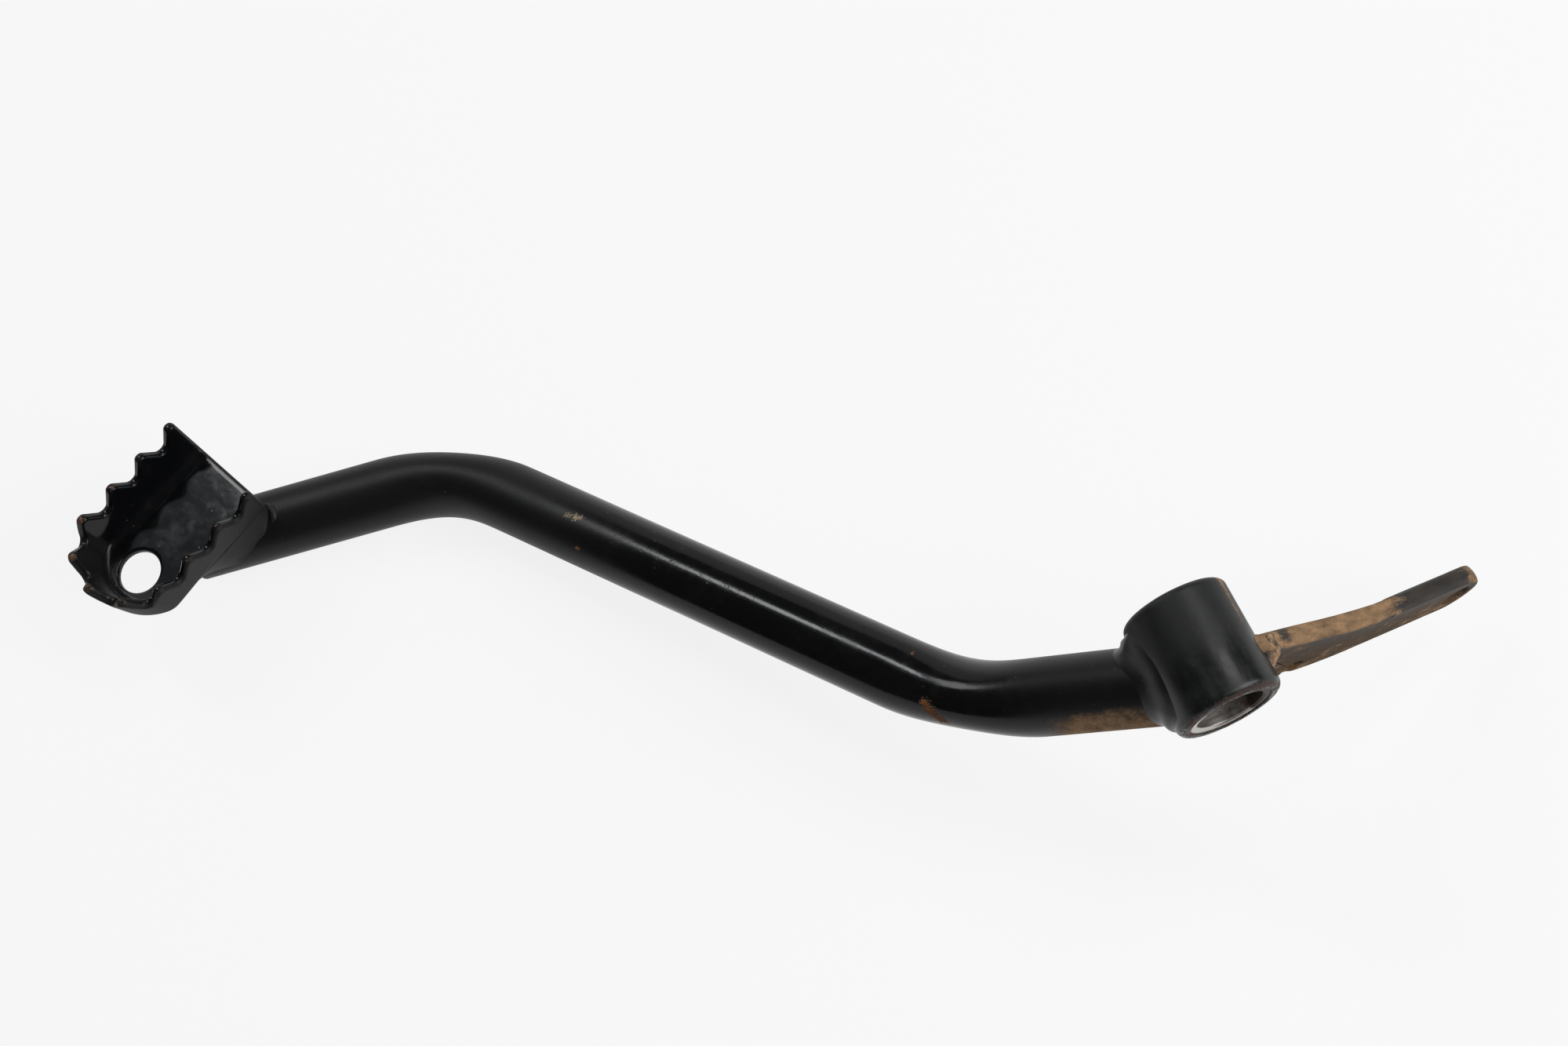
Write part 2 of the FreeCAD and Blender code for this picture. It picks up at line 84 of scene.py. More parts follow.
# Waves of an uneven field, how their lengths differ, and the sum that counts as 1
WAVE_COUNT = 9
WAVE_SPREAD: Range = (0.6, 1.7)
WAVE_SUM = 4.0

ARC_STEPS = 9
logger = logging.getLogger("brake_pedal")


class Slot(Enum):
    """Finish slots of the part's record."""

    ARM = "arm_paint"
    BOSS = "boss_paint"
    SLEEVE = "bush_steel"
    STEP = "step_paint"
    LEVER = "lever_paint"
    WELD = "weld_paint"


class Mark(Enum):
    """What a vertex says about the state of the surface there, from 0 to 1."""

    DIRT = "dirt"
    RUST = "rust"
    WEAR = "wear"
    SCUFF = "scuff"
    DULL = "dull"


Marks = Dict[Mark, Union[float, Array]]


# Arrays and meshes


def unit(vectors: Array) -> Array:
    """Vectors divided by their own length.

    Args:
        vectors: any array whose last axis holds x, y, z.

    Returns:
        An array of the same shape with lengths of 1.
    """
    vectors = np.asarray(vectors, float)
    return vectors / np.linalg.norm(vectors, axis=-1, keepdims=True)


def eased(low: float, high: float, value: Array) -> Array:
    """Smooth climb from 0 at low to 1 at high: three squares less two cubes of the share.

    Args:
        low: value at which the climb starts.
        high: value at which it ends.
        value: numbers to map.

    Returns:
        Numbers from 0 to 1.
    """
    share = np.clip((np.asarray(value, float) - low) / (high - low), 0.0, 1.0)
    return share * share * (3.0 - 2.0 * share)


def edge_share(distance: Array, depth: float) -> Array:
    """Share of the full thickness at a distance from a free edge: a quarter circle as deep as asked.

    Args:
        distance: distance from the edge.
        depth: distance over which the edge is rounded.

    Returns:
        0 on the edge, 1 from depth on.
    """
    inside = np.clip(1.0 - np.asarray(distance, float) / depth, 0.0, 1.0)
    return np.sqrt(1.0 - inside * inside)


def edge_steps(depth: float, count: int) -> Array:
    """Distances from an edge that follow its rounding at even turns of the quarter circle.

    Args:
        depth: depth of the rounding.
        count: number of steps.

    Returns:
        Distances from 0 to depth.
    """
    return depth * (1.0 - np.cos(np.linspace(0.0, math.pi / 2, count)))


def full_turn(count: int) -> Array:
    """Evenly spaced angles of a whole turn."""
    return np.linspace(0.0, 2 * math.pi, count, endpoint=False)


def round_ways(turn: Array, first: Array, second: Array) -> Array:
    """Directions round a circle: the turn's cosine times one direction plus its sine times another.

    Args:
        turn: angles.
        first: direction at angle 0.
        second: direction a quarter turn further.

    Returns:
        Directions, last axis x, y, z.
    """
    return np.cos(turn)[..., None] * first + np.sin(turn)[..., None] * second


def swell(points: Array, wavelength: float, seed: int) -> Array:
    """Soft uneven field: a scaled sum of sine waves with seeded directions, each about one wavelength long.

    Args:
        points: places, last axis x, y, z.
        wavelength: typical length of a wave.
        seed: seed of the directions.

    Returns:
        Numbers of about -1 to 1, one for each place.
    """
    chance = np.random.default_rng(seed)
    ways = unit(chance.normal(size=(WAVE_COUNT, 3)))
    waves = ways * (2 * math.pi / wavelength) * chance.uniform(*WAVE_SPREAD, (WAVE_COUNT, 1))
    turns = chance.uniform(0.0, 2 * math.pi, WAVE_COUNT)
    return np.sin(points @ waves.T + turns).sum(-1) / WAVE_SUM


def near_spots(points: Array, spots: Union[Spots, Array]) -> Array:
    """Nearness to the closest of some round spots: 1 at a spot's middle, 0.5 on its rim, 0 at twice that.

    Args:
        points: places, last axis x, y, z.
        spots: x, y, z and radius of each spot.

    Returns:
        Numbers from 0 to 1, one for each place.
    """
    table = np.asarray(spots, float)
    gaps = np.linalg.norm(points[..., None, :] - table[:, :3], axis=-1) / table[:, 3]
    return np.clip(1.0 - 0.5 * gaps.min(-1), 0.0, 1.0)


@dataclass
class Patch:
    """A grid of points that stands for one stretch of a surface, with marks at the points or all over."""

    points: Array
    close_rows: bool = False
    close_cols: bool = False
    marks: Marks = field(default_factory=dict)

    def faces(self) -> Array:
        """Four corner numbers for each cell of the grid, wrapped round where a side is closed."""
        rows, cols = self.points.shape[:2]
        index = np.arange(rows * cols).reshape(rows, cols)
        if self.close_rows:
            index = np.vstack([index, index[:1]])
        if self.close_cols:
            index = np.hstack([index, index[:, :1]])
        corners = [index[:-1, :-1], index[1:, :-1], index[1:, 1:], index[:-1, 1:]]
        return np.stack(corners, -1).reshape(-1, 4)

    def mark(self, kind: Mark) -> Array:
        """One number for each point, 0 where the patch says nothing."""
        return np.broadcast_to(self.marks.get(kind, 0.0), self.points.shape[:2]).reshape(-1)


def sewn_object(name: str, patches: Sequence[Patch]) -> bpy.types.Object:
    """One closed mesh from patches whose borders lie on each other.

    Points that fall in the same small cell become one, grid cells with a collapsed side become triangles, and
    all faces are turned if the volume that they close is negative.

    Args:
        name: name of the object and its mesh.
        patches: the patches, in millimetres.

    Returns:
        The new object, at the origin.
    """
    points = np.vstack([patch.points.reshape(-1, 3) for patch in patches])
    sizes = [patch.points.shape[0] * patch.points.shape[1] for patch in patches]
    starts = np.concatenate([[0], np.cumsum(sizes)[:-1]])
    faces = np.vstack([patch.faces() + start for patch, start in zip(patches, starts)])
    cells = np.floor(points / SEW_CELL + SEW_SHIFT).astype(np.int64)
    _, first, where = np.unique(cells, axis=0, return_index=True, return_inverse=True)
    faces = where.reshape(-1)[faces]
    points = points[first]
    same = faces == np.roll(faces, -1, axis=1)
    crossed = (faces[:, 0] == faces[:, 2]) | (faces[:, 1] == faces[:, 3])
    sides = same.sum(1)
    quads = faces[(sides == 0) & ~crossed]
    pinched = (sides == 1) & ~crossed
    triangles = faces[pinched][~same[pinched]].reshape(-1, 3)
    halves = np.vstack([quads[:, [0, 1, 2]], quads[:, [0, 2, 3]], triangles])
    a, b, c = points[halves[:, 0]], points[halves[:, 1]], points[halves[:, 2]]
    if np.einsum("ij,ij->", a, np.cross(b, c)) < 0:
        quads, triangles = quads[:, ::-1], triangles[:, ::-1]
    mesh = bpy.data.meshes.new(name)
    mesh.from_pydata((points * MM).tolist(), [], quads.tolist() + triangles.tolist())
    for kind in Mark:
        layer = mesh.attributes.new(kind.value, "FLOAT", "POINT")
        values = np.concatenate([patch.mark(kind) for patch in patches])[first]
        layer.data.foreach_set("value", values.astype(np.float32))
    mesh.update()
    mesh.shade_smooth()
    piece = bpy.data.objects.new(name, mesh)
    bpy.context.scene.collection.objects.link(piece)
    return piece


def rounded_loop(corners: Sequence[Pair], radii: Sequence[float], spacing: float) -> Array:
    """Closed profile with rounded corners: straight runs cut at even steps, and an arc at each corner.

    Args:
        corners: corners in order.
        radii: rounding of each corner.
        spacing: longest step on a straight run.

    Returns:
        Points of the profile, one row each.
    """
    spots = np.asarray(corners, float)
    parts: List[Array] = []
    for i, radius in enumerate(radii):
        here, before, after = spots[i], spots[i - 1], spots[(i + 1) % len(spots)]
        d_in, d_out = unit(here - before), unit(after - here)
        turn = math.acos(float(np.clip(d_in @ d_out, -1.0, 1.0)))
        setback = radius * math.tan(turn / 2)
        inward = unit(d_out - d_in * (d_in @ d_out))
        angles = np.linspace(0.0, turn, ARC_STEPS)[:, None]
        centre = here - d_in * setback + inward * radius
        parts.append(centre + radius * (np.sin(angles) * d_in - np.cos(angles) * inward))
    loop: List[Array] = []
    for i, part in enumerate(parts):
        ahead = parts[(i + 1) % len(parts)][0]
        steps = max(int(np.linalg.norm(ahead - part[-1]) / spacing), 1)
        shares = np.linspace(0.0, 1.0, steps + 1)[1:-1, None]
        loop += [part, part[-1] + (ahead - part[-1]) * shares]
    return np.vstack(loop)


def dressed(piece: bpy.types.Object, finish: "Finish", nodes: Sequence[str]) -> bpy.types.Object:
    """Gives a piece its finish and its body, and hides the nodes that it stands for.

    Args:
        piece: the piece.
        finish: what covers it.
        nodes: names of the replaced nodes, which may be none.

    Returns:
        The same piece.
    """
    piece.data.materials.append(finish.material())
    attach(piece, BODY)
    if nodes:
        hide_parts(*nodes)
    logger.info("%s: %d points, %d faces", piece.name, len(piece.data.vertices), len(piece.data.polygons))
    return piece


# Shader nodes


class Value:
    """A number in a material, on which Python's operators add Math nodes."""

    def __init__(self, sheet: "NodeSheet", socket: Any) -> None:
        """Keeps the sheet that owns the number and the socket that gives it."""
        self.sheet = sheet
        self.socket = socket

    def _math(self, operation: str, left: Any, right: Any) -> "Value":
        """A Math node on two numbers, as a new number."""
        node = self.sheet.node("ShaderNodeMath", {"operation": operation}, {0: left, 1: right})
        return Value(self.sheet, node.outputs[0])

    def __add__(self, other: Any) -> "Value":
        """Sum."""
        return self._math("ADD", self, other)

    def __radd__(self, other: Any) -> "Value":
        """Sum, with this number on the right."""
        return self._math("ADD", other, self)

    def __sub__(self, other: Any) -> "Value":
        """Difference."""
        return self._math("SUBTRACT", self, other)

    def __rsub__(self, other: Any) -> "Value":
        """Difference, with this number on the right."""
        return self._math("SUBTRACT", other, self)

    def __mul__(self, other: Any) -> "Value":
        """Product."""
        return self._math("MULTIPLY", self, other)

    def __rmul__(self, other: Any) -> "Value":
        """Product, with this number on the right."""
        return self._math("MULTIPLY", other, self)

    def or_more(self, other: Any) -> "Value":
        """The larger of two numbers."""
        return self._math("MAXIMUM", self, other)

    def climb(self, low: float, high: float) -> "Value":
        """Smooth climb from 0 at low to 1 at high."""
        node = self.sheet.node("ShaderNodeMapRange", {"interpolation_type": "SMOOTHSTEP"},
                               {0: self, 1: low, 2: high, 3: 0.0, 4: 1.0})
        return Value(self.sheet, node.outputs[0])


class NodeSheet:
    """The nodes of one material."""

    def __init__(self, name: str) -> None:
        """Starts an empty material of that name."""
        self.surface = bpy.data.materials.new(name)
        self.surface.use_nodes = True
        self.tree = self.surface.node_tree
        self.tree.nodes.clear()

    def node(self, kind: str, settings: Optional[Dict[str, Any]] = None,
             inputs: Optional[Dict[Union[int, str], Any]] = None) -> Any:
        """Adds one node.

        Args:
            kind: type of the node.
            settings: its properties, set first.
            inputs: value or link of each socket, by name or number.

        Returns:
            The node.
        """
        node = self.tree.nodes.new(kind)
        for key, value in (settings or {}).items():
            setattr(node, key, value)
        for key, value in (inputs or {}).items():
            if isinstance(value, Value):
                value = value.socket
            if isinstance(value, bpy.types.NodeSocket):
                self.tree.links.new(value, node.inputs[key])
            else:
                node.inputs[key].default_value = value
        return node

    def mapped(self, spot: Any, key: str, value: Point) -> Any:
        """Coordinates through a Mapping node that has one socket set."""
        return self.node("ShaderNodeMapping", {}, {"Vector": spot, key: value}).outputs[0]

    def place(self, stretch: Point = EVEN, turn: float = 0.0) -> Any:
        """Object coordinates, turned about the pivot axis and then stretched along the axes."""
        spot = self.node("ShaderNodeTexCoord").outputs["Object"]
        if turn:
            spot = self.mapped(spot, "Rotation", (0.0, turn, 0.0))
        if stretch != EVEN:
            spot = self.mapped(spot, "Scale", stretch)
        return spot

    def noise(self, scale: float, detail: float, rough: float, stretch: Point = EVEN,
              turn: float = 0.0) -> Value:
        """Cloudy noise from 0 to 1 with that many features a metre, turned and stretched."""
        node = self.node("ShaderNodeTexNoise", {}, {"Vector": self.place(stretch, turn), "Scale": scale,
                                                    "Detail": detail, "Roughness": rough})
        return Value(self, node.outputs["Fac"])

    def pores(self, scale: float) -> Value:
        """Distance to the nearest of scattered points, that many a metre."""
        node = self.node("ShaderNodeTexVoronoi", {}, {"Vector": self.place(), "Scale": scale})
        return Value(self, node.outputs["Distance"])

    def mark(self, kind: Mark) -> Value:
        """A mark that the mesh carries."""
        return Value(self, self.node("ShaderNodeAttribute", {"attribute_name": kind.value}).outputs["Fac"])

    def ramp(self, value: Value, stops: Range, dark: Colour, light: Colour) -> Any:
        """Colour that goes with a number from dark at the first stop to light at the second."""
        node = self.node("ShaderNodeValToRGB", {}, {0: value})
        for element, place, colour in zip(node.color_ramp.elements, stops, (dark, light)):
            element.position, element.color = place, colour
        return node.outputs["Color"]

    def mix(self, share: Value, under: Any, over: Any) -> Any:
        """One colour over another by a share."""
        return self.node("ShaderNodeMix", {"data_type": "RGBA"}, {0: share, 6: under, 7: over}).outputs[2]

    def close(self, shader: Any) -> bpy.types.Material:
        """Joins a shader to the output and gives the material."""
        self.node("ShaderNodeOutputMaterial", {}, {"Surface": shader.outputs[0]})
        return self.surface


NOISE_MIDDLE = 0.5
SCRATCH_TONE: Colour = (0.085, 0.083, 0.080, 1.0)


@dataclass(frozen=True)
class Mix:
    """Shares of grain, fine and cloudy noise in a sum."""

    grain: float = 0.0
    fine: float = 0.0
    cloud: float = 0.0

    def of(self, grain: Value, fine: Value, cloud: Value) -> Value:
        """The noises that have a share, each times its share, added up."""
        pairs = ((grain, self.grain), (fine, self.fine), (cloud, self.cloud))
        parts = [noise * share for noise, share in pairs if share]
        return sum(parts[1:], parts[0])


@dataclass(frozen=True)
class Layers:
    """How much of each layer shows on the paint, from 0 to 1; crust is dirt or rust."""

    dirt: Value
    rust: Value
    wear: Value
    scuff: Value
    dull: Value
    dust: Value
    speck: Value
    crust: Value


class Finish:
    """What covers a piece."""

    def material(self) -> bpy.types.Material:
        """A new material of this finish."""
        raise NotImplementedError


@dataclass(frozen=True)
class AgedPaint(Finish):
    """Black paint with dust, dried dirt, rust and bare worn edges, where the marks and noise put them.

    A noise is its features a metre, detail and roughness. A range is where a layer starts and where it is
    full. Stops are the places of a dark and a light tone. Clean paint has the roughness rough; dust_rough,
    dull_rough and scuff_rough are added to it, and crust_rough and wear_rough take its place.
    """

    name: str
    paint: Colour = (0.0042, 0.0043, 0.0046, 1.0)
    rough: float = 0.13
    specular: float = 0.32
    dust: float = 0.2
    dust_tone: Colour = (0.035, 0.036, 0.037, 1.0)
    dust_from: float = 0.45
    dust_blend: float = 0.22
    dirt_dark: Colour = (0.090, 0.056, 0.032, 1.0)
    dirt_light: Colour = (0.390, 0.240, 0.132, 1.0)
    rust_dark: Colour = (0.050, 0.018, 0.009, 1.0)
    rust_light: Colour = (0.260, 0.105, 0.035, 1.0)
    bare: Colour = (0.340, 0.270, 0.180, 1.0)
    bare_metal: float = 0.0
    dirt_ragged: float = 1.0
    dirt_from: float = 0.42
    dirt_blend: float = 0.24
    dull_dust: float = 0.35
    gloss_grain: float = 0.08
    gloss_cloud: float = 0.0
    peel: float = 0.10
    peel_scale: float = 900.0
    wave: float = 0.0
    specks: float = 0.5
    streak: Point = EVEN
    streak_turn: float = 0.0
    cloud_noise: Point = (75.0, 5.0, 0.55)
    grain_noise: Point = (430.0, 6.0, 0.62)
    fine_noise: Point = (2600.0, 3.0, 0.55)
    peel_noise: Pair = (2.0, 0.4)
    dirt_mix: Mix = Mix(grain=0.85, fine=0.35, cloud=0.40)
    chip_mix: Mix = Mix(grain=0.80, fine=1.50)
    scuff_mix: Mix = Mix(grain=0.8, fine=2.2)
    dust_mix: Mix = Mix(grain=0.4, cloud=0.6)
    speck_mix: Mix = Mix(fine=0.4, cloud=1.0)
    tone_mix: Mix = Mix(grain=0.75, fine=0.25)
    rust_range: Range = (0.46, 0.70)
    wear_range: Range = (0.46, 0.62)
    scuff_range: Range = (0.74, 0.88)
    speck_range: Range = (0.62, 0.80)
    speck_scale: float = 330.0
    speck_size: Range = (0.03, 0.10)
    scuff_tone: float = 0.7
    soil_stops: Range = (0.30, 0.62)
    flake_stops: Range = (0.34, 0.66)
    metal_stops: Range = (0.30, 0.58)
    dust_rough: float = 0.5
    dull_rough: float = 0.45
    scuff_rough: float = 0.3
    crust_rough: float = 0.82
    wear_rough: float = 0.48
    crust_height: float = 0.35
    crust_grain: float = 0.5
    wear_depth: float = 0.3
    speck_height: float = 0.3
    scuff_depth: float = 0.2
    bump: float = 0.6
    bump_height: float = 0.00022

    def layers(self, sheet: NodeSheet, noises: Sequence[Value], offsets: Sequence[Value]) -> Layers:
        """Dust by noise, specks by scattered points, and a layer for each of the marks with a ragged border.

        Args:
            sheet: nodes of the material.
            noises: grain, fine and cloudy noise.
            offsets: the same noises less their middle.

        Returns:
            The layers.
        """
        ragged = self.dirt_mix.of(*offsets) * self.dirt_ragged
        broken = self.chip_mix.of(*offsets)
        dirt = (sheet.mark(Mark.DIRT) + ragged).climb(self.dirt_from, self.dirt_from + self.dirt_blend)
        rust = (sheet.mark(Mark.RUST) + broken).climb(*self.rust_range)
        wear = (sheet.mark(Mark.WEAR) + broken).climb(*self.wear_range)
        scuff = (sheet.mark(Mark.SCUFF) + self.scuff_mix.of(*offsets)).climb(*self.scuff_range)
        dull = sheet.mark(Mark.DULL)
        dust = self.dust_mix.of(*noises).climb(self.dust_from, self.dust_from + self.dust_blend) * self.dust
        dust = dust.or_more(dull * self.dull_dust)
        dots = 1.0 - sheet.pores(self.speck_scale).climb(*self.speck_size)
        speck = dots * self.speck_mix.of(*noises).climb(*self.speck_range) * self.specks
        return Layers(dirt, rust, wear, scuff, dull, dust, speck, dirt.or_more(rust))

    def colour(self, sheet: NodeSheet, on: Layers, tone: Value) -> Any:
        """The paint's colour with each layer's colour over it; tone goes through the dirt, rust and metal."""
        soil = sheet.ramp(tone, self.soil_stops, self.dirt_dark, self.dirt_light)
        flake = sheet.ramp(tone, self.flake_stops, self.rust_dark, self.rust_light)
        metal = sheet.ramp(tone, self.metal_stops, self.dirt_dark, self.bare)
        colour = sheet.mix(on.dust, self.paint, self.dust_tone)
        colour = sheet.mix(on.speck.or_more(on.scuff * self.scuff_tone), colour, SCRATCH_TONE)
        colour = sheet.mix(on.dirt, colour, soil)
        colour = sheet.mix(on.rust, colour, flake)
        return sheet.mix(on.wear, colour, metal)

    def roughness(self, on: Layers, grain_offset: Value, cloud_offset: Value) -> Value:
        """The paint's roughness, which the layers add to or take over."""
        rough = self.rough + on.dust * self.dust_rough + on.dull * self.dull_rough
        rough = rough + on.scuff * self.scuff_rough
        rough = rough + grain_offset * self.gloss_grain + cloud_offset * self.gloss_cloud
        rough = rough * (1.0 - on.crust) + on.crust * self.crust_rough
        return rough * (1.0 - on.wear) + on.wear * self.wear_rough

    def height(self, on: Layers, peel: Value, grain: Value, cloud: Value) -> Value:
        """Height of the surface for the bump: peel and waves, raised by crust and specks, sunk by wear."""
        crust = on.crust * (self.crust_height + grain * self.crust_grain)
        height = peel * self.peel + cloud * self.wave + crust
        return height - on.wear * self.wear_depth + on.speck * self.speck_height - on.scuff * self.scuff_depth

    def material(self) -> bpy.types.Material:
        """Paint and the layers on it, worked out from four noises and the marks."""
        sheet = NodeSheet(self.name)
        cloud = sheet.noise(*self.cloud_noise)
        grain = sheet.noise(*self.grain_noise, self.streak, self.streak_turn)
        fine = sheet.noise(*self.fine_noise)
        peel = sheet.noise(self.peel_scale, *self.peel_noise)
        noises = (grain, fine, cloud)
        offsets = [noise - NOISE_MIDDLE for noise in noises]
        on = self.layers(sheet, noises, offsets)
        colour = self.colour(sheet, on, self.tone_mix.of(*noises))
        rough = self.roughness(on, offsets[0], offsets[2])
        bump = sheet.node("ShaderNodeBump", {}, {"Strength": self.bump, "Distance": self.bump_height,
                                                 "Height": self.height(on, peel, grain, cloud)})
        shader = sheet.node("ShaderNodeBsdfPrincipled", {}, {
            "Base Color": colour, "Roughness": rough, "Metallic": on.wear * self.bare_metal,
            "Normal": bump.outputs["Normal"], "Specular IOR Level": self.specular})
        return sheet.close(shader)


@dataclass(frozen=True)
class WornSteel(Finish):
    """Bare turned steel: fine rings round the pivot axis, a dark brown tone where the DIRT mark puts it, and
    rusty spots.
    """

    name: str
    clean: Colour = (0.50, 0.47, 0.44, 1.0)
    darkening: Colour = (0.030, 0.017, 0.011, 1.0)
    rusty: Colour = (0.110, 0.030, 0.014, 1.0)
    ring_noise: Point = (900.0, 3.0, 0.5)
    ring_stretch: Point = (0.05, 1.0, 0.05)
    cloud_noise: Point = (160.0, 5.0, 0.6)
    uneven_cloud: float = 1.2
    uneven_rings: float = 0.3
    darkening_range: Range = (0.30, 0.62)
    rust_range: Range = (0.40, 0.75)
    rough: float = 0.32
    cover_rough: float = 0.25
    ring_rough: float = 0.15
    metallic: float = 0.95
    cover_metallic: float = 0.75
    cloud_height: float = 0.6
    bump: float = 0.35
    bump_height: float = 0.0001

    def material(self) -> bpy.types.Material:
        """Metal whose colour goes from clean to dark brown and rusty by cloudy noise and the marks."""
        sheet = NodeSheet(self.name)
        rings = sheet.noise(*self.ring_noise, self.ring_stretch)
        cloud = sheet.noise(*self.cloud_noise)
        ring_offset = rings - NOISE_MIDDLE
        uneven = (cloud - NOISE_MIDDLE) * self.uneven_cloud + ring_offset * self.uneven_rings
        # Darker brown where the DIRT mark is high, which the sleeve sets on one side and deep in the bore
        darkening = (sheet.mark(Mark.DIRT) + uneven).climb(*self.darkening_range)
        rust = (sheet.mark(Mark.RUST) + uneven).climb(*self.rust_range)
        colour = sheet.mix(darkening, self.clean, self.darkening)
        colour = sheet.mix(rust, colour, self.rusty)
        cover = darkening.or_more(rust)
        bump = sheet.node("ShaderNodeBump", {}, {"Strength": self.bump, "Distance": self.bump_height,
                                                 "Height": rings + cloud * self.cloud_height})
        gloss = self.rough + cover * self.cover_rough + ring_offset * self.ring_rough
        shader = sheet.node("ShaderNodeBsdfPrincipled", {}, {
            "Base Color": colour, "Roughness": gloss, "Metallic": self.metallic - cover * self.cover_metallic,
            "Normal": bump.outputs["Normal"]})
        return sheet.close(shader)


# The arm


@dataclass
class Run:
    """Stations on a stretch of the arm's centre line, each with two directions and its share of a bend."""

    middles: Array
    tangents: Array
    outs: Array
    shares: Array

    @staticmethod
    def straight(middles: Array, tangent: Array, out: Array) -> "Run":
        """A stretch without a bend, so with one tangent and one outward direction."""
        tangents, outs = np.broadcast_to(tangent, middles.shape), np.broadcast_to(out, middles.shape)
        return Run(middles, tangents, outs, np.zeros(len(middles)))


@dataclass
class PedalArm:
    """Round tube that leaves the pivot axis, turns twice and ends under the step."""

    radius: float = 7.99
    wall: float = 2.0
    root: Point = (0.0, 4.8, 0.0)
    rear_bend: Point = (43.0, -19.5, -25.5)
    front_bend: Point = (123.0, -128.7, -46.4)
    rear_bend_radius: float = 70.0
    front_bend_radius: float = 45.0
    front_run: float = 64.0
    toe_out: float = 11.8
    flattening: float = 0.12
    boss_radius: float = 11.0
    sunk_in_boss: float = 0.6
    end_rounding: float = 0.5
    around: int = 96
    root_rows: int = 30
    bend_rows: int = 56
    middle_rows: int = 130
    rim_rows: int = 5
    tail_step: float = 1.0
    dirt_side: Point = (0.50, 0.80, -0.33)
    dirt_facing: Range = (0.10, 0.85)
    dirt_fade: Range = (40.0, 24.0)
    rust_spots: Spots = ((103.8, -93.2, -34.3, 0.55), (48.6, -33.1, -20.4, 0.55), (51.0, -22.0, -19.6, 1.1),
                         (51.1, -20.7, -20.4, 1.4), (50.2, -19.4, -20.6, 1.5), (49.3, -17.9, -21.4, 1.7))
    rust_share: float = 0.95
    chips: Spots = ((102.6, -100.7, -33.0, 0.7), (101.3, -99.4, -32.6, 0.9), (100.0, -98.6, -32.4, 0.7))
    chip_share: float = 0.9
    scuff_from: Point = (99.5, -96.0, -32.0)
    scuff_to: Point = (73.0, -61.0, -25.4)
    scuff_count: int = 24
    scuff_radius: float = 1.2
    scuff_share: float = 0.62
    ticks: Spots = ((115.0, -119.2, -36.4, 0.5), (115.5, -118.0, -36.3, 0.5), (86.0, -78.2, -28.7, 0.9))
    dull_front: Range = (84.0, 110.0)
    dull_front_share: float = 0.65
    dull_rear: Range = (46.0, 24.0)
    dull_rear_share: float = 0.60

    def front_direction(self) -> Array:
        """Direction of the last straight run, level and turned outboard."""
        angle = math.radians(self.toe_out)
        return np.array([math.cos(angle), -math.sin(angle), 0.0])

    def front_side(self) -> Array:
        """Level direction square to the last straight run, on its inboard side."""
        forward = self.front_direction()
        return np.array([-forward[1], forward[0], 0.0])

    def end(self) -> Array:
        """Middle of the tube's far end."""
        return np.asarray(self.front_bend) + self.front_direction() * self.front_run

    def root_direction(self) -> Array:
        """Direction in which the tube leaves the pivot axis."""
        return unit(np.subtract(self.rear_bend, self.root))

    @staticmethod
    def bend(before: Array, corner: Array, after: Array, radius: float, count: int) -> Run:
        """Arc that rounds a corner of the centre line.

        Each middle is the arc's centre plus the outward direction times the radius. The outward direction is
        the way in times the turn's sine less the inward way times its cosine.

        Args:
            before: point before the corner.
            corner: the corner.
            after: point after it.
            radius: radius of the arc.
            count: number of stations.

        Returns:
            The arc.
        """
        way_in, way_out = unit(corner - before), unit(after - corner)
        angle = math.acos(float(way_in @ way_out))
        inward = unit(way_out - way_in * (way_in @ way_out))
        centre = corner - way_in * radius * math.tan(angle / 2) + inward * radius
        shares = np.linspace(0.0, 1.0, count)
        outs = round_ways(shares * angle, -inward, way_in)
        return Run(centre + outs * radius, round_ways(shares * angle, way_in, inward), outs, shares)

    def stations(self) -> Tuple[Array, Array, Array, Array]:
        """Centre line: straight, arc, straight, arc, straight.

        Returns:
            Middles, tangents, outward directions of the bends, and how much the section is squeezed, which is
            the flattening times the squared sine of pi times the share of the bend.
        """
        corners = np.stack([self.root, self.rear_bend, self.front_bend, self.end()])
        rear = self.bend(*corners[:3], self.rear_bend_radius, self.bend_rows)
        front = self.bend(*corners[1:], self.front_bend_radius, self.bend_rows)
        front_turn = math.acos(float(front.tangents[0] @ front.tangents[-1]))
        tail = self.front_run - self.front_bend_radius * math.tan(front_turn / 2)
        rim = edge_steps(self.end_rounding, self.rim_rows)
        gaps = np.concatenate([rim, np.arange(self.tail_step, tail, self.tail_step)])[::-1]
        to_rear = np.linspace(0.0, 1.0, self.root_rows)[:-1, None]
        to_front = np.linspace(0.0, 1.0, self.middle_rows)[1:-1, None]
        root_line = corners[0] + to_rear * (rear.middles[0] - corners[0])
        middle_line = rear.middles[-1] + to_front * (front.middles[0] - rear.middles[-1])
        tail_line = self.end() - gaps[:, None] * self.front_direction()
        runs = [
            Run.straight(root_line, corners[1] - corners[0], rear.outs[0]),
            rear,
            Run.straight(middle_line, corners[2] - corners[1], rear.outs[-1]),
            front,
            Run.straight(tail_line, self.front_direction(), front.outs[-1]),
        ]
        middles = np.vstack([run.middles for run in runs])
        tangents = unit(np.vstack([run.tangents for run in runs]))
        outs = np.vstack([run.outs for run in runs])
        shares = np.concatenate([run.shares for run in runs])
        return middles, tangents, outs, np.sin(math.pi * shares) ** 2 * self.flattening

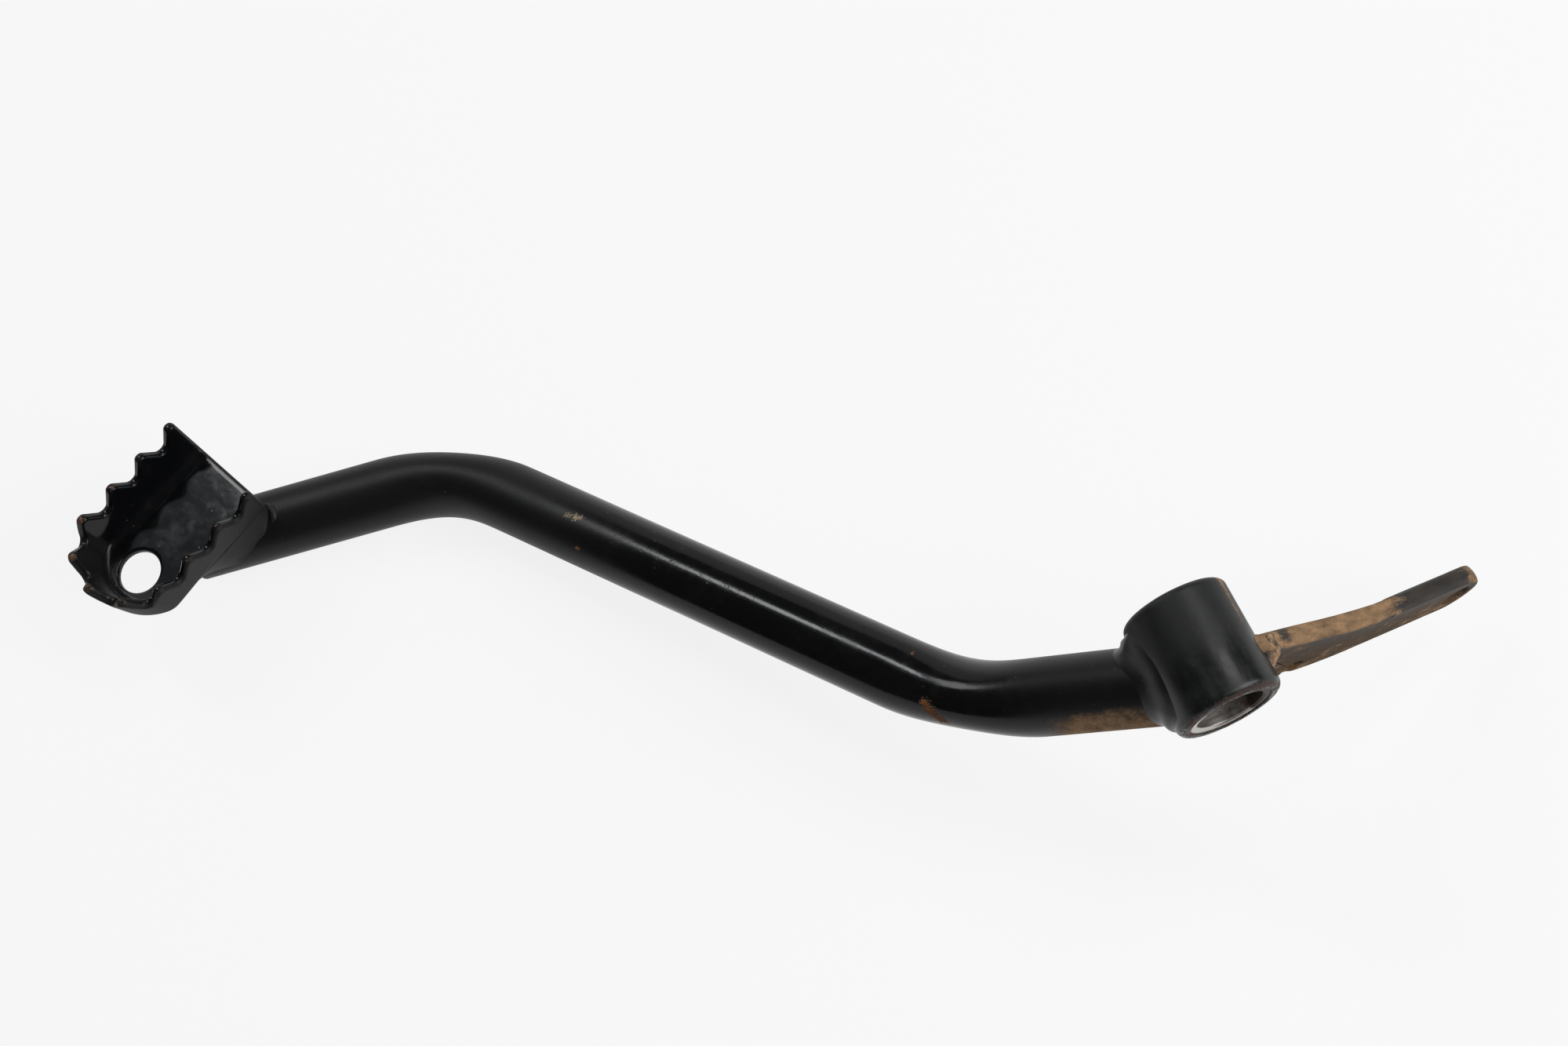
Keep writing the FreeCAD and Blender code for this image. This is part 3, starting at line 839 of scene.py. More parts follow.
    def skin(self, radius: Array) -> Array:
        """Surface of the tube at a radius, from a little inside the boss to the far end.

        There is a ring at each station, squeezed toward the bend's inside and spread half as much across. In
        the first run each line starts on a cylinder inside the boss, and its points share the way evenly.

        Args:
            radius: radius at each station.

        Returns:
            Points, one row of a ring for each station.
        """
        middles, tangents, outs, squeeze = self.stations()
        up = unit(UP - tangents * tangents[:, 2:])
        side = np.cross(tangents, up)
        across = np.cross(tangents, outs)
        ring = round_ways(full_turn(self.around), up[:, None], side[:, None]) * radius[:, None, None]
        flat = np.einsum("ijk,ik->ij", ring, outs) * -squeeze[:, None]
        wide = np.einsum("ijk,ik->ij", ring, across) * squeeze[:, None] / 2
        ring = ring + flat[..., None] * outs[:, None] + wide[..., None] * across[:, None]
        points = middles[:, None] + ring
        start = self.on_boss(points[0], self.boss_radius - self.sunk_in_boss)
        last = self.root_rows - 1
        share = (np.arange(self.root_rows) / last)[:, None, None]
        points[:self.root_rows] = start + (points[last] - start) * share
        return points

    def on_boss(self, starts: Array, boss_radius: float) -> Array:
        """Where lines along the root meet a cylinder on the pivot axis: the farther root of a quadratic.

        Args:
            starts: points on the lines.
            boss_radius: radius of the cylinder.

        Returns:
            Points on the cylinder.
        """
        way = self.root_direction()
        square = way[0] ** 2 + way[2] ** 2
        linear = starts[..., 0] * way[0] + starts[..., 2] * way[2]
        rest = starts[..., 0] ** 2 + starts[..., 2] ** 2 - boss_radius ** 2
        reach = (-linear + np.sqrt(np.maximum(linear * linear - square * rest, 0.0))) / square
        return starts + reach[..., None] * way

    def build(self) -> bpy.types.Object:
        """Outer skin to the far end, a rounded rim there, and the bore back to the boss, in one grid."""
        middles = self.stations()[0]
        gap = np.linalg.norm(middles - self.end(), axis=1)
        share = edge_share(gap, self.end_rounding)
        middle = self.radius - self.wall / 2
        outer = self.skin(middle + share * self.wall / 2)
        inner = self.skin(middle - share * self.wall / 2)[::-1]
        bare = np.zeros(inner[1:].shape[:2])
        marks = {kind: np.vstack([values, bare]) for kind, values in self.marks(outer).items()}
        return sewn_object("arm_tube", [Patch(np.vstack([outer, inner[1:]]), True, True, marks)])

    def marks(self, outer: Array) -> Dict[Mark, Array]:
        """Dried dirt by the boss, rust spots, chips, scuffs, and dull paint by the boss and near the step.

        The dirt goes with how far a point faces a set direction and with its distance from the boss, the dull
        paint fades along the arm, and the scuffs lie on a line on its top.

        Args:
            outer: points of the outer skin.

        Returns:
            The marks at those points.
        """
        middles, tangents = self.stations()[:2]
        gap = outer - middles[:, None]
        gap = gap - np.einsum("ijk,ik->ij", gap, tangents)[..., None] * tangents[:, None]
        facing = unit(gap) @ unit(self.dirt_side)
        forward = outer[..., 0]
        dirt = eased(*self.dirt_facing, facing) * eased(*self.dirt_fade, forward)
        line = np.linspace(self.scuff_from, self.scuff_to, self.scuff_count)
        rubbed = np.hstack([line, np.full((self.scuff_count, 1), self.scuff_radius)])
        scuffs = np.maximum(near_spots(outer, rubbed) * self.scuff_share, near_spots(outer, self.ticks))
        dull = np.maximum(eased(*self.dull_front, forward) * self.dull_front_share,
                          eased(*self.dull_rear, forward) * self.dull_rear_share)
        return {Mark.DIRT: dirt, Mark.RUST: near_spots(outer, self.rust_spots) * self.rust_share,
                Mark.WEAR: near_spots(outer, self.chips) * self.chip_share,
                Mark.SCUFF: scuffs, Mark.DULL: dull}

    def dress(self) -> bpy.types.Object:
        """Builds the tube and covers it in gloss black paint."""
        finish = AgedPaint("gloss_black_arm", specular=0.22, dust=0.10, dirt_blend=0.60, dirt_ragged=0.7,
                           dull_dust=0.08)
        return dressed(self.build(), finish, ["pedal_arm"])


# The pivot


@dataclass
class Pivot:
    """Boss with rounded rims and the plain sleeve in it, both turned about the pivot axis."""

    boss_radius: float = 10.998
    boss_half: float = 12.0
    seat_radius: float = 8.5
    outboard_rounding: float = 1.4
    inboard_rounding: float = 1.7
    bore_radius: float = 7.0
    sleeve_half: float = 11.7
    sleeve_chamfer: float = 0.4
    seat_rounding: float = 0.3
    sleeve_rounding: float = 0.08
    boss_spacing: float = 0.45
    sleeve_spacing: float = 0.5
    around: int = 180
    tan_from: Spot = (-9.5, -11.2, 5.5, 2.6)
    tan_to: Spot = (-9.4, -1.6, 5.7, 0.9)
    tan_count: int = 14
    tan_share: float = 0.7
    rim_rust: Range = (10.6, 11.8)
    rim_rust_share: float = 0.55
    boss_dull: Range = (7.0, -5.0)
    boss_dull_share: float = 0.40
    # The steel is darker brown on the side toward this direction, and over the bore away from its ends
    darker_side: Point = (-0.80, 0.0, 0.60)
    darker_side_range: Range = (-4.0, 4.0)
    deep_darkening: Range = (11.4, 9.5)
    deep_darkening_share: float = 0.55
    rust_spots: Spots = ((-1.3, 10.4, -6.9, 2.6), (-3.6, 10.0, -6.0, 3.0))
    rust_share: float = 0.6

    def turned(self, loop: Array) -> Array:
        """A closed profile of radius and height carried round the pivot axis.

        Args:
            loop: radius and height along the axis, one row each.

        Returns:
            Points, one row for each point of the profile.
        """
        turn = full_turn(self.around)
        radius, height = loop[:, :1], loop[:, 1:]
        return np.stack([radius * np.cos(turn), height + 0 * turn, radius * np.sin(turn)], -1)

    def boss(self) -> bpy.types.Object:
        """The boss, with soft rims, a tan smear, a rusty inboard rim and dull paint outboard."""
        outer, seat, half = self.boss_radius, self.seat_radius, self.boss_half
        corners = [(seat, -half), (outer, -half), (outer, half), (seat, half)]
        roundings = [self.seat_rounding, self.outboard_rounding, self.inboard_rounding, self.seat_rounding]
        points = self.turned(rounded_loop(corners, roundings, self.boss_spacing))
        tan = np.linspace(self.tan_from, self.tan_to, self.tan_count)
        marks = {Mark.DIRT: near_spots(points, tan) * self.tan_share,
                 Mark.RUST: eased(*self.rim_rust, points[..., 1]) * self.rim_rust_share,
                 Mark.DULL: eased(*self.boss_dull, points[..., 1]) * self.boss_dull_share}
        finish = AgedPaint("satin_black_boss", paint=(0.0062, 0.0066, 0.0072, 1.0), rough=0.28, specular=0.36,
                           dust=0.24, dust_tone=(0.030, 0.031, 0.031, 1.0), dust_from=0.44, dirt_blend=0.60,
                           rust_dark=(0.012, 0.006, 0.005, 1.0), rust_light=(0.075, 0.028, 0.014, 1.0),
                           dull_dust=0.22, gloss_grain=0.22, gloss_cloud=0.30, streak=(1.0, 0.35, 1.0))
        piece = sewn_object("pivot_boss_shell", [Patch(points, True, True, marks)])
        return dressed(piece, finish, ["pivot_boss"])

    def sleeve(self) -> bpy.types.Object:
        """The sleeve, chamfered at both ends of its bore, darker brown on one side and deep inside."""
        seat, bore, half = self.seat_radius, self.bore_radius, self.sleeve_half
        wide, short = bore + self.sleeve_chamfer, half - self.sleeve_chamfer
        corners = [(bore, -short), (wide, -half), (seat, -half), (seat, half), (wide, half), (bore, short)]
        roundings = [self.sleeve_rounding] * len(corners)
        points = self.turned(rounded_loop(corners, roundings, self.sleeve_spacing))
        above = points @ np.asarray(self.darker_side)
        deep = eased(*self.deep_darkening, np.abs(points[..., 1])) * self.deep_darkening_share
        # Mark.DIRT carries only the darker brown tone of the steel here: on one side and deep in the bore
        marks = {Mark.DIRT: np.maximum(eased(*self.darker_side_range, above), deep),
                 Mark.RUST: near_spots(points, self.rust_spots) * self.rust_share}
        piece = sewn_object("pivot_sleeve", [Patch(points, True, True, marks)])
        return dressed(piece, WornSteel("worn_sleeve_steel"), ["pivot_bush"])


# The step


@dataclass
class StepCup:
    """Drawn cup with a toothed wall round its nose and sides, open at the rear, with a drain hole."""

    sheet: float = 2.28
    half_width: float = 14.7
    straight: float = 30.4
    corner_radius: float = 7.0
    end_radius: float = 16.0
    nose_reach: float = 10.5
    wall_height: float = 12.2
    wall_lean: float = 2.0
    fold_radius: float = 3.2
    nose_fold: float = 1.5
    turn: float = 23.5
    ahead_of_tube: float = 10.6
    inboard_of_tube: float = 7.1
    seat_depth: float = 0.5
    hole_radius: float = 5.0
    hole_along: float = 0.3
    hole_across: float = 0.6
    teeth_straight: int = 3
    teeth_nose: int = 4
    tip_radius: float = 1.4
    tip_land: float = 0.2
    root_radius: float = 1.6
    flank: float = 55.0
    edge_rounding: float = 0.62
    nose_before: float = 9.0
    nose_after: float = 1.0
    steepest: float = 3.0
    far_from_edge: float = 99.0
    wall_stations: int = 380
    edge_rows: int = 7
    fold_rows: int = 13
    wall_rows: int = 22
    rear_stations: int = 90
    floor_rows: int = 26
    floor_edge_rows: int = 6
    floor_near: float = 9.0
    floor_far: float = 24.0
    worn_tips: Spots = ((192.9, -153.1, -24.4, 0.8), (202.4, -149.3, -24.5, 1.0), (207.1, -142.0, -24.4, 1.0),
                        (206.4, -133.8, -24.5, 1.2), (201.3, -127.6, -24.9, 2.0))
    worn_share: float = 0.85
    tip_below: float = 1.0
    tip_above: float = 0.1
    tip_share: float = 0.36
    nose_dull: Range = (3.0, -6.0)
    nose_dull_share: float = 0.35
    rear_dull: Range = (0.8, 0.2)
    rear_dull_share: float = 0.8
    outer_dull: float = 0.8
    arm: PedalArm = field(default_factory=PedalArm)

    def __post_init__(self) -> None:
        """Works out the step's own axes, its floor level and the arcs of its outline."""
        yaw = math.radians(self.turn)
        self.along = np.array([-math.cos(yaw), -math.sin(yaw), 0.0])
        self.across = np.array([math.sin(yaw), -math.cos(yaw), 0.0])
        ahead = self.arm.front_direction() * self.ahead_of_tube
        self.centre = self.arm.end() + ahead + self.arm.front_side() * self.inboard_of_tube
        self.floor_top = self.arm.front_bend[2] + self.arm.radius - self.seat_depth + self.sheet
        self.end_centre = self.end_radius - self.nose_reach
        gap, side = self.end_radius - self.corner_radius, self.half_width - self.corner_radius
        self.corner_side = side
        self.corner_along = self.end_centre - math.sqrt(gap ** 2 - side ** 2)
        self.corner_turn = math.atan2(self.end_centre - self.corner_along, side)

    def at(self, along: Array, across: Array, height: Array) -> Array:
        """Points given along and across the step and above its floor."""
        points = self.centre + along[..., None] * self.along + across[..., None] * self.across
        points[..., 2] = self.floor_top + height
        return points

    def lengths(self) -> Array:
        """Lengths of the outline's five stretches at the middle of the wall's top edge."""
        inset = self.sheet / 2
        corner = (self.corner_radius - inset) * self.corner_turn
        nose = (self.end_radius - inset) * (math.pi - 2 * self.corner_turn)
        side = self.straight - self.corner_along
        return np.array([side, corner, nose, corner, side])

    def outline(self, s: Array, inset: Array) -> Tuple[Array, Array]:
        """The step seen from above: side, corner arc, nose arc, corner arc, side, set in evenly.

        Each point is the centre of its arc plus the outward direction times the radius less the inset; on the
        sides the centre slides along.

        Args:
            s: distance along the middle of the wall's top edge, from the inboard rear end.
            inset: distance in from the outer edge.

        Returns:
            Along and across of each point.
        """
        ends = np.cumsum(self.lengths())
        corner, middle = self.corner_turn, self.sheet / 2
        first = np.clip((s - ends[0]) / (self.corner_radius - middle), 0.0, corner)
        nose = np.clip((s - ends[1]) / (self.end_radius - middle), 0.0, math.pi - 2 * corner)
        last = np.clip((s - ends[2]) / (self.corner_radius - middle), 0.0, corner)
        turn = first + nose + last
        on_nose = (s > ends[1]) & (s < ends[2])
        slide = np.clip(ends[0] - s, 0.0, None) + np.clip(s - ends[3], 0.0, None)
        centre_along = np.where(on_nose, self.end_centre, self.corner_along + slide)
        centre_across = np.where(on_nose, 0.0, np.where(s < ends[4] / 2, -self.corner_side, self.corner_side))
        radius = np.where(on_nose, self.end_radius, self.corner_radius) - inset
        return centre_along - np.sin(turn) * radius, centre_across - np.cos(turn) * radius

    def top(self, s: Array) -> Array:
        """Height of the wall's toothed edge: arcs at the tips and valleys joined by straight flanks.

        The wall's two rear ends are rounded by a quarter circle as large as a tip.

        Args:
            s: distance along the wall.

        Returns:
            Height above the floor.
        """
        total, tip = self.lengths().sum(), self.tip_radius
        side = self.lengths()[0] - tip
        nose = total - 2 * tip - 2 * side
        borders = np.concatenate([
            tip + np.linspace(0.0, side, self.teeth_straight + 1),
            tip + side + np.linspace(0.0, nose, self.teeth_nose + 1)[1:],
            tip + side + nose + np.linspace(0.0, side, self.teeth_straight + 1)[1:]])
        which = np.clip(np.searchsorted(borders, s) - 1, 0, len(borders) - 2)
        pitch = (borders[1:] - borders[:-1])[which]
        away = np.minimum(np.abs(s - borders[which] - pitch / 2), pitch / 2)
        angle = math.radians(self.flank)
        reach = (pitch - self.tip_land) / 2
        run = (reach - (tip + self.root_radius) * math.sin(angle)) / math.cos(angle)
        depth = (tip + self.root_radius) * (1 - math.cos(angle)) + run * math.sin(angle)
        valley = self.root_radius - np.sqrt(np.maximum(self.root_radius ** 2 - away ** 2, 0.0)) - depth
        crest = np.sqrt(np.maximum(tip ** 2 - np.maximum(reach - away, 0.0) ** 2, 0.0)) - tip
        foot = self.root_radius * math.sin(angle)
        flank = (away - foot) * math.tan(angle) + self.root_radius * (1 - math.cos(angle)) - depth
        edge = np.where(away < foot, valley, np.where(away > reach - tip * math.sin(angle), crest, flank))
        end_gap = np.minimum(np.minimum(s, total - s), tip)
        end = np.sqrt(np.maximum(tip ** 2 - (tip - end_gap) ** 2, 0.0)) - tip
        return self.wall_height + np.minimum(edge, end)

    def stations(self) -> Array:
        """Distances along the wall, even but for its two rear ends, where they follow the edge rounding."""
        total = self.lengths().sum()
        steps = edge_steps(self.edge_rounding, self.edge_rows)
        between = np.linspace(self.edge_rounding, total - self.edge_rounding, self.wall_stations)
        return np.concatenate([steps[:-1], between, total - steps[-2::-1]])

    def bend(self, s: Array) -> Array:
        """Radius of the fold at the sheet's middle, at distances along the wall.

        It is tighter round the nose, and it eases in from nose_before on the sides to nose_after on the
        corner arcs.
        """
        ends = np.cumsum(self.lengths())
        at_nose = (eased(ends[0] - self.nose_before, ends[0] + self.nose_after, s)
                   * eased(ends[3] + self.nose_before, ends[3] - self.nose_after, s))
        return self.sheet / 2 + self.fold_radius + (self.nose_fold - self.fold_radius) * at_nose

    def outward(self, s: Array) -> Array:
        """Outward direction, along and across, at distances along the wall."""
        out_along, out_across = self.outline(s, np.zeros_like(s))
        in_along, in_across = self.outline(s, np.ones_like(s))
        return np.stack([out_along - in_along, out_across - in_across], -1)

    def wall_heights(self, foot: Array, top: Array, steep: Array) -> Array:
        """Heights of the wall's rows: even from its foot, then following the rounding of the toothed edge.

        Args:
            foot: height at which the fold ends, in a column.
            top: height of the toothed edge.
            steep: cosine of the edge's slope.

        Returns:
            Heights, one row for each station.
        """
        steps = edge_steps(self.edge_rounding, self.edge_rows)
        body_top = top - self.edge_rounding / steep
        body = foot + (body_top[:, None] - foot) * np.linspace(0.0, 1.0, self.wall_rows)
        return np.hstack([body, top[:, None] - steps[-2::-1] / steep[:, None]])

    def build(self) -> bpy.types.Object:
        """The sheet as two skins half a thickness to each side of its middle, which meet at every free edge.

        The middle runs from the hole's rim over the floor, round the fold and up the wall, at stations along
        the wall; a second stretch covers the floor behind the hole. The thickness falls to nothing over the
        edge rounding, as a quarter circle does, so each free edge is round.
        """
        s = self.stations()
        lean = math.atan2(self.wall_lean, self.wall_height + self.sheet)
        half, fold = self.sheet / 2, math.pi / 2 - lean
        bend = self.bend(s)[:, None]
        setback = bend * math.tan(fold / 2)
        floor_edge = half + (self.wall_height + half) * math.tan(lean) + setback
        turns = np.linspace(0.0, fold, self.fold_rows)[1:-1]
        fold_height = -half + bend * (1 - np.cos(turns))
        top = self.top(s)
        steep = 1.0 / np.sqrt(1.0 + np.clip(np.gradient(top, s), -self.steepest, self.steepest) ** 2)
        wall_height = self.wall_heights(-half + setback * math.cos(lean), top, steep)
        wall_inset = half + (self.wall_height - wall_height) * math.tan(lean)
        inset = np.hstack([floor_edge - bend * np.sin(turns), wall_inset])
        rim_along, rim_across = self.outline(s, floor_edge[:, 0])
        floor_along, floor_across = self.floor_lines(rim_along, rim_across, self.floor_shares())
        up_along, up_across = self.outline(np.broadcast_to(s[:, None], inset.shape), inset)
        along = np.hstack([floor_along, up_along])
        across = np.hstack([floor_across, up_across])
        height = np.hstack([np.full(floor_along.shape, -half), fold_height, wall_height])
        level, upright = np.zeros(floor_along.shape[1]), np.full(wall_height.shape[1], fold)
        tilt = np.concatenate([level, turns, upright])
        to_top = (top[:, None] - height) * steep[:, None]
        to_top[:, :len(level) + len(turns)] = self.far_from_edge
        front = self.skins(along, across, height, tilt, self.outward(s), to_top)
        return sewn_object("step_tread", [front, self.rear_floor(rim_across[-1], rim_across[0])])

    def rear_floor(self, first: float, last: float) -> Patch:
        """The floor behind the hole, out to its straight rear edge.

        Args:
            first: across of the rear edge's first point.
            last: across of its last point.

        Returns:
            The patch.
        """
        border_along = np.full(self.rear_stations, self.straight)
        border_across = first + (last - first) * np.linspace(0.0, 1.0, self.rear_stations)
        along, across = self.floor_lines(border_along, border_across, self.floor_shares())
        height = np.full(along.shape, -self.sheet / 2)
        to_top = np.full(along.shape, self.far_from_edge)
        return self.skins(along, across, height, np.zeros(along.shape[1]), np.zeros((len(along), 2)), to_top)

    def floor_shares(self) -> Array:
        """Shares of the way from the hole's rim to the floor's border, close together at both ends.

        They follow the edge rounding at the rim on a line as long as floor_near, and at the border on one as
        long as floor_far.
        """
        steps = edge_steps(self.edge_rounding, self.floor_edge_rows)
        near = steps / self.floor_near
        far = 1.0 - steps[::-1] / self.floor_far
        return np.concatenate([near, np.linspace(near[-1], far[0], self.floor_rows)[1:-1], far])

    def floor_lines(self, border_along: Array, border_across: Array, share: Array) -> Tuple[Array, Array]:
        """Straight lines over the floor from the hole's rim to points of its border.

        Args:
            border_along: along of the border's points.
            border_across: across of them.
            share: shares of the way.

        Returns:
            Along and across, one row for each point of the border.
        """
        gap_along, gap_across = border_along - self.hole_along, border_across - self.hole_across
        gap = np.hypot(gap_along, gap_across)
        reach = self.hole_radius + (gap - self.hole_radius)[:, None] * share
        along = self.hole_along + (gap_along / gap)[:, None] * reach
        return along, self.hole_across + (gap_across / gap)[:, None] * reach

    def skins(self, along: Array, across: Array, height: Array, tilt: Array, way: Array,
              to_top: Array) -> Patch:
        """Both skins of a stretch of the sheet as one grid that is closed from hole to free edge and back.

        Args:
            along: along of the sheet's middle.
            across: across of it.
            height: height of it.
            tilt: turn of the sheet from level at each column.
            way: outward direction at each row.
            to_top: distance to the toothed edge.

        Returns:
            The patch.
        """
        to_hole = np.hypot(along - self.hole_along, across - self.hole_across) - self.hole_radius
        free = np.minimum(np.minimum(self.straight - along, to_top), to_hole)
        push = edge_share(free, self.edge_rounding) * self.sheet / 2
        lift, out = push * np.cos(tilt), -push * np.sin(tilt)
        shift_along, shift_across = out * way[:, :1], out * way[:, 1:]
        upper = self.at(along + shift_along, across + shift_across, height + lift)
        lower = self.at(along - shift_along, across - shift_across, height - lift)
        points = np.hstack([upper, lower[:, ::-1]])
        outside = np.hstack([np.zeros(along.shape), np.ones(along.shape)])
        return Patch(points, False, True, self.marks(points, outside))

    def marks(self, points: Array, outside: Array) -> Dict[Mark, Array]:
        """Wear on the tooth tips, most on some of them, and dull paint outside, in the nose and at the rear.

        Args:
            points: points of the skins.
            outside: 1 on the outer skin, 0 on the inner.

        Returns:
            The marks at those points.
        """
        height = points[..., 2] - self.floor_top
        along = (points - self.centre) @ self.along
        tips = eased(self.wall_height - self.tip_below, self.wall_height + self.tip_above, height)
        wear = np.maximum(tips * self.tip_share, near_spots(points, self.worn_tips) * self.worn_share)
        rear_from, rear_to = self.straight - self.rear_dull[0], self.straight - self.rear_dull[1]
        dull = np.maximum(eased(*self.nose_dull, along) * self.nose_dull_share,
                          eased(rear_from, rear_to, along) * self.rear_dull_share)
        return {Mark.WEAR: wear, Mark.DULL: np.maximum(outside * self.outer_dull, dull)}

    def dress(self) -> bpy.types.Object:
        """Builds the cup and covers it in gloss black paint."""
        finish = AgedPaint("gloss_black_step", paint=(0.0040, 0.0043, 0.0050, 1.0), rough=0.10, specular=0.22,
                           dust=0.16, dust_tone=(0.030, 0.029, 0.027, 1.0), dull_dust=0.42,
                           bare=(0.150, 0.078, 0.050, 1.0), dirt_dark=(0.040, 0.018, 0.012, 1.0),
                           bare_metal=0.3, peel=0.07, peel_scale=520.0, wave=0.10, specks=0.9)
        return dressed(self.build(), finish, ["step_cup"])


# The rear lever


@dataclass
class RearLever:
    """Flat plate that tapers from the boss, bends slowly outboard and ends in a round eye."""

    thickness: float = 4.0
    inboard_face: float = 5.4
    angle: float = 214.0
    root_half: float = 10.0
    eye_half: float = 5.98
    taper: float = 42.0
    bend_start: float = 26.0
    bend_angle: float = 5.2
    bend_radius: float = 200.0
    eye: float = 67.9
    pin_radius: float = 3.1
    spring_radius: float = 2.3
    spring_along: float = 23.3
    spring_side: float = 5.0
    split: float = 46.0
    root_radius: float = 10.2
    edge_rounding: float = 0.6
    eye_rows: int = 90
    straight_rows: int = 46
    split_rows: int = 22
    taper_rows: int = 60
    neck_rows: int = 6
    root_rows: int = 40
    rim_rows: int = 6
    face_rows: int = 14
    rim_dirt: Range = (1.3, 0.4)
    rim_fade: Range = (58.0, 38.0)
    rim_patch: float = 13.4
    patch_reach: Range = (3.4, 0.2)
    patch_share: float = 0.55
    tip_along: Range = (-3.0, 2.0)
    tip_rim: Range = (1.5, 0.5)
    tip_share: float = 0.8
    face_dirt: float = 0.40
    face_dirt_climb: float = 0.10
    face_dull: float = 0.6
    face_dull_climb: float = 0.3

    def holes(self) -> List[Tuple[Pair, float]]:
        """Middle and radius of the pin's hole and of the spring's hole."""
        pin = ((self.eye, 0.0), self.pin_radius)
        spring = ((self.spring_along, self.spring_side), self.spring_radius)
        return [pin, spring]

    def half_width(self, x: Array) -> Array:
        """Half width of the plate: an even taper, then constant."""
        return self.root_half + (self.eye_half - self.root_half) * np.clip(x / self.taper, 0.0, 1.0)

    def at(self, x: Array, side: Array, push: Array) -> Array:
        """Points along and across the plate, pushed out from its middle.

        The middle runs level, then round an arc about the bend's centre, then along the arc's end tangent.

        Args:
            x: distance from the pivot axis along the plate.
            side: distance across it.
            push: distance from its middle toward the inboard face.

        Returns:
            Points in the frame.
        """
        lift = math.radians(self.bend_angle)
        radius = self.bend_radius + self.thickness / 2
        turn = np.arcsin(np.clip((x - self.bend_start) / radius, 0.0, math.sin(lift)))
        beyond = np.maximum(x - self.bend_start - radius * np.sin(turn), 0.0)
        drop = radius * (1 - np.cos(turn)) + beyond * np.tan(turn)
        angle = math.radians(self.angle)
        out = np.array([math.cos(angle), 0.0, math.sin(angle)])
        across = np.array([-math.sin(angle), 0.0, math.cos(angle)])
        level = self.inboard_face - self.thickness / 2 - drop
        normal = round_ways(turn, PIVOT_AXIS, out)
        middle = x[..., None] * out + side[..., None] * across + level[..., None] * PIVOT_AXIS
        return middle + push[..., None] * normal

    def eye_border(self) -> Array:
        """Closed border of the eye's half: one edge, the round end, the other edge and the split line."""
        half = self.eye_half
        turn = np.linspace(-math.pi / 2, math.pi / 2, self.eye_rows)
        edge = np.linspace(self.split, self.eye, self.straight_rows)
        side = np.full(self.straight_rows - 1, half)
        line = self.split_line()
        return np.vstack([
            np.stack([edge[:-1], -side], -1),
            np.stack([self.eye + half * np.cos(turn), half * np.sin(turn)], -1),
            np.stack([edge[::-1][1:], side], -1),
            np.stack([np.full(len(line) - 2, self.split), line[::-1][1:-1]], -1)])

    def split_line(self) -> Array:
        """Places across the plate on the line where its two halves meet, close together by the edges."""
        near = edge_steps(self.edge_rounding, self.rim_rows)
        low, high = near - self.eye_half, self.eye_half - near[::-1]
        return np.concatenate([low, np.linspace(low[-1], high[0], self.split_rows)[1:-1], high])

    def root_border(self) -> Array:
        """Closed border of the root's half: one edge, the split line, the other edge and an arc in the boss.

        The edges start where the taper meets the arc, which is the farther root of a quadratic.
        """
        radius = self.root_radius
        slope = (self.eye_half - self.root_half) / self.taper
        square, linear, rest = 1 + slope ** 2, self.root_half * slope, self.root_half ** 2 - radius ** 2
        start = (-linear + math.sqrt(linear * linear - square * rest)) / square
        edge = np.concatenate([np.linspace(start, self.taper, self.taper_rows),
                               np.linspace(self.taper, self.split, self.neck_rows)[1:]])
        corner = math.atan2(self.half_width(np.array(start)), start)
        turn = np.linspace(corner, -corner, self.root_rows)[1:-1]
        line = self.split_line()
        return np.vstack([
            np.stack([edge, -self.half_width(edge)], -1),
            np.stack([np.full(len(line) - 2, self.split), line[1:-1]], -1),
            np.stack([edge[::-1], self.half_width(edge[::-1])], -1),
            np.stack([radius * np.cos(turn), radius * np.sin(turn)], -1)])

    def half_plate(self, border: Array, hole: Pair, hole_radius: float) -> Patch:
        """Both faces of one half of the plate, along lines from a hole's rim to the border.

        The thickness falls to nothing over the edge rounding, as a quarter circle does, at each free edge.

        Args:
            border: closed border, x and side.
            hole: middle of the hole.
            hole_radius: its radius.

        Returns:
            The patch.
        """
        gap = border - np.asarray(hole)
        long = np.hypot(gap[:, 0], gap[:, 1])
        near = edge_steps(self.edge_rounding, self.rim_rows)
        body = np.linspace(0.0, 1.0, self.face_rows)[1:-1]
        inner = np.broadcast_to(hole_radius + near, (len(long), self.rim_rows))
        outer = long[:, None] - near[::-1]
        middle = inner[:, -1:] + (outer[:, :1] - inner[:, -1:]) * body
        reach = np.hstack([inner, middle, outer])
        x = hole[0] + gap[:, :1] / long[:, None] * reach
        side = hole[1] + gap[:, 1:] / long[:, None] * reach
        to_edge = self.half_width(x) - np.abs(side)
        to_end = self.eye_half - np.hypot(x - self.eye, side)
        to_edge = np.where(x > self.eye, to_end, to_edge)
        for spot, radius in self.holes():
            to_edge = np.minimum(to_edge, np.hypot(x - spot[0], side - spot[1]) - radius)
        push = edge_share(np.maximum(to_edge, 0.0), self.edge_rounding) * self.thickness / 2
        points = np.hstack([self.at(x, side, push), self.at(x, side, -push)[:, ::-1]])
        marks = {kind: np.hstack([values, values[:, ::-1]]) for kind, values in self.marks(x, side).items()}
        return Patch(points, True, True, marks)

    def build(self) -> bpy.types.Object:
        """The two halves, sewn along the split line."""
        pin, spring = self.holes()
        halves = [self.half_plate(self.root_border(), *spring), self.half_plate(self.eye_border(), *pin)]
        return sewn_object("rod_lever", halves)

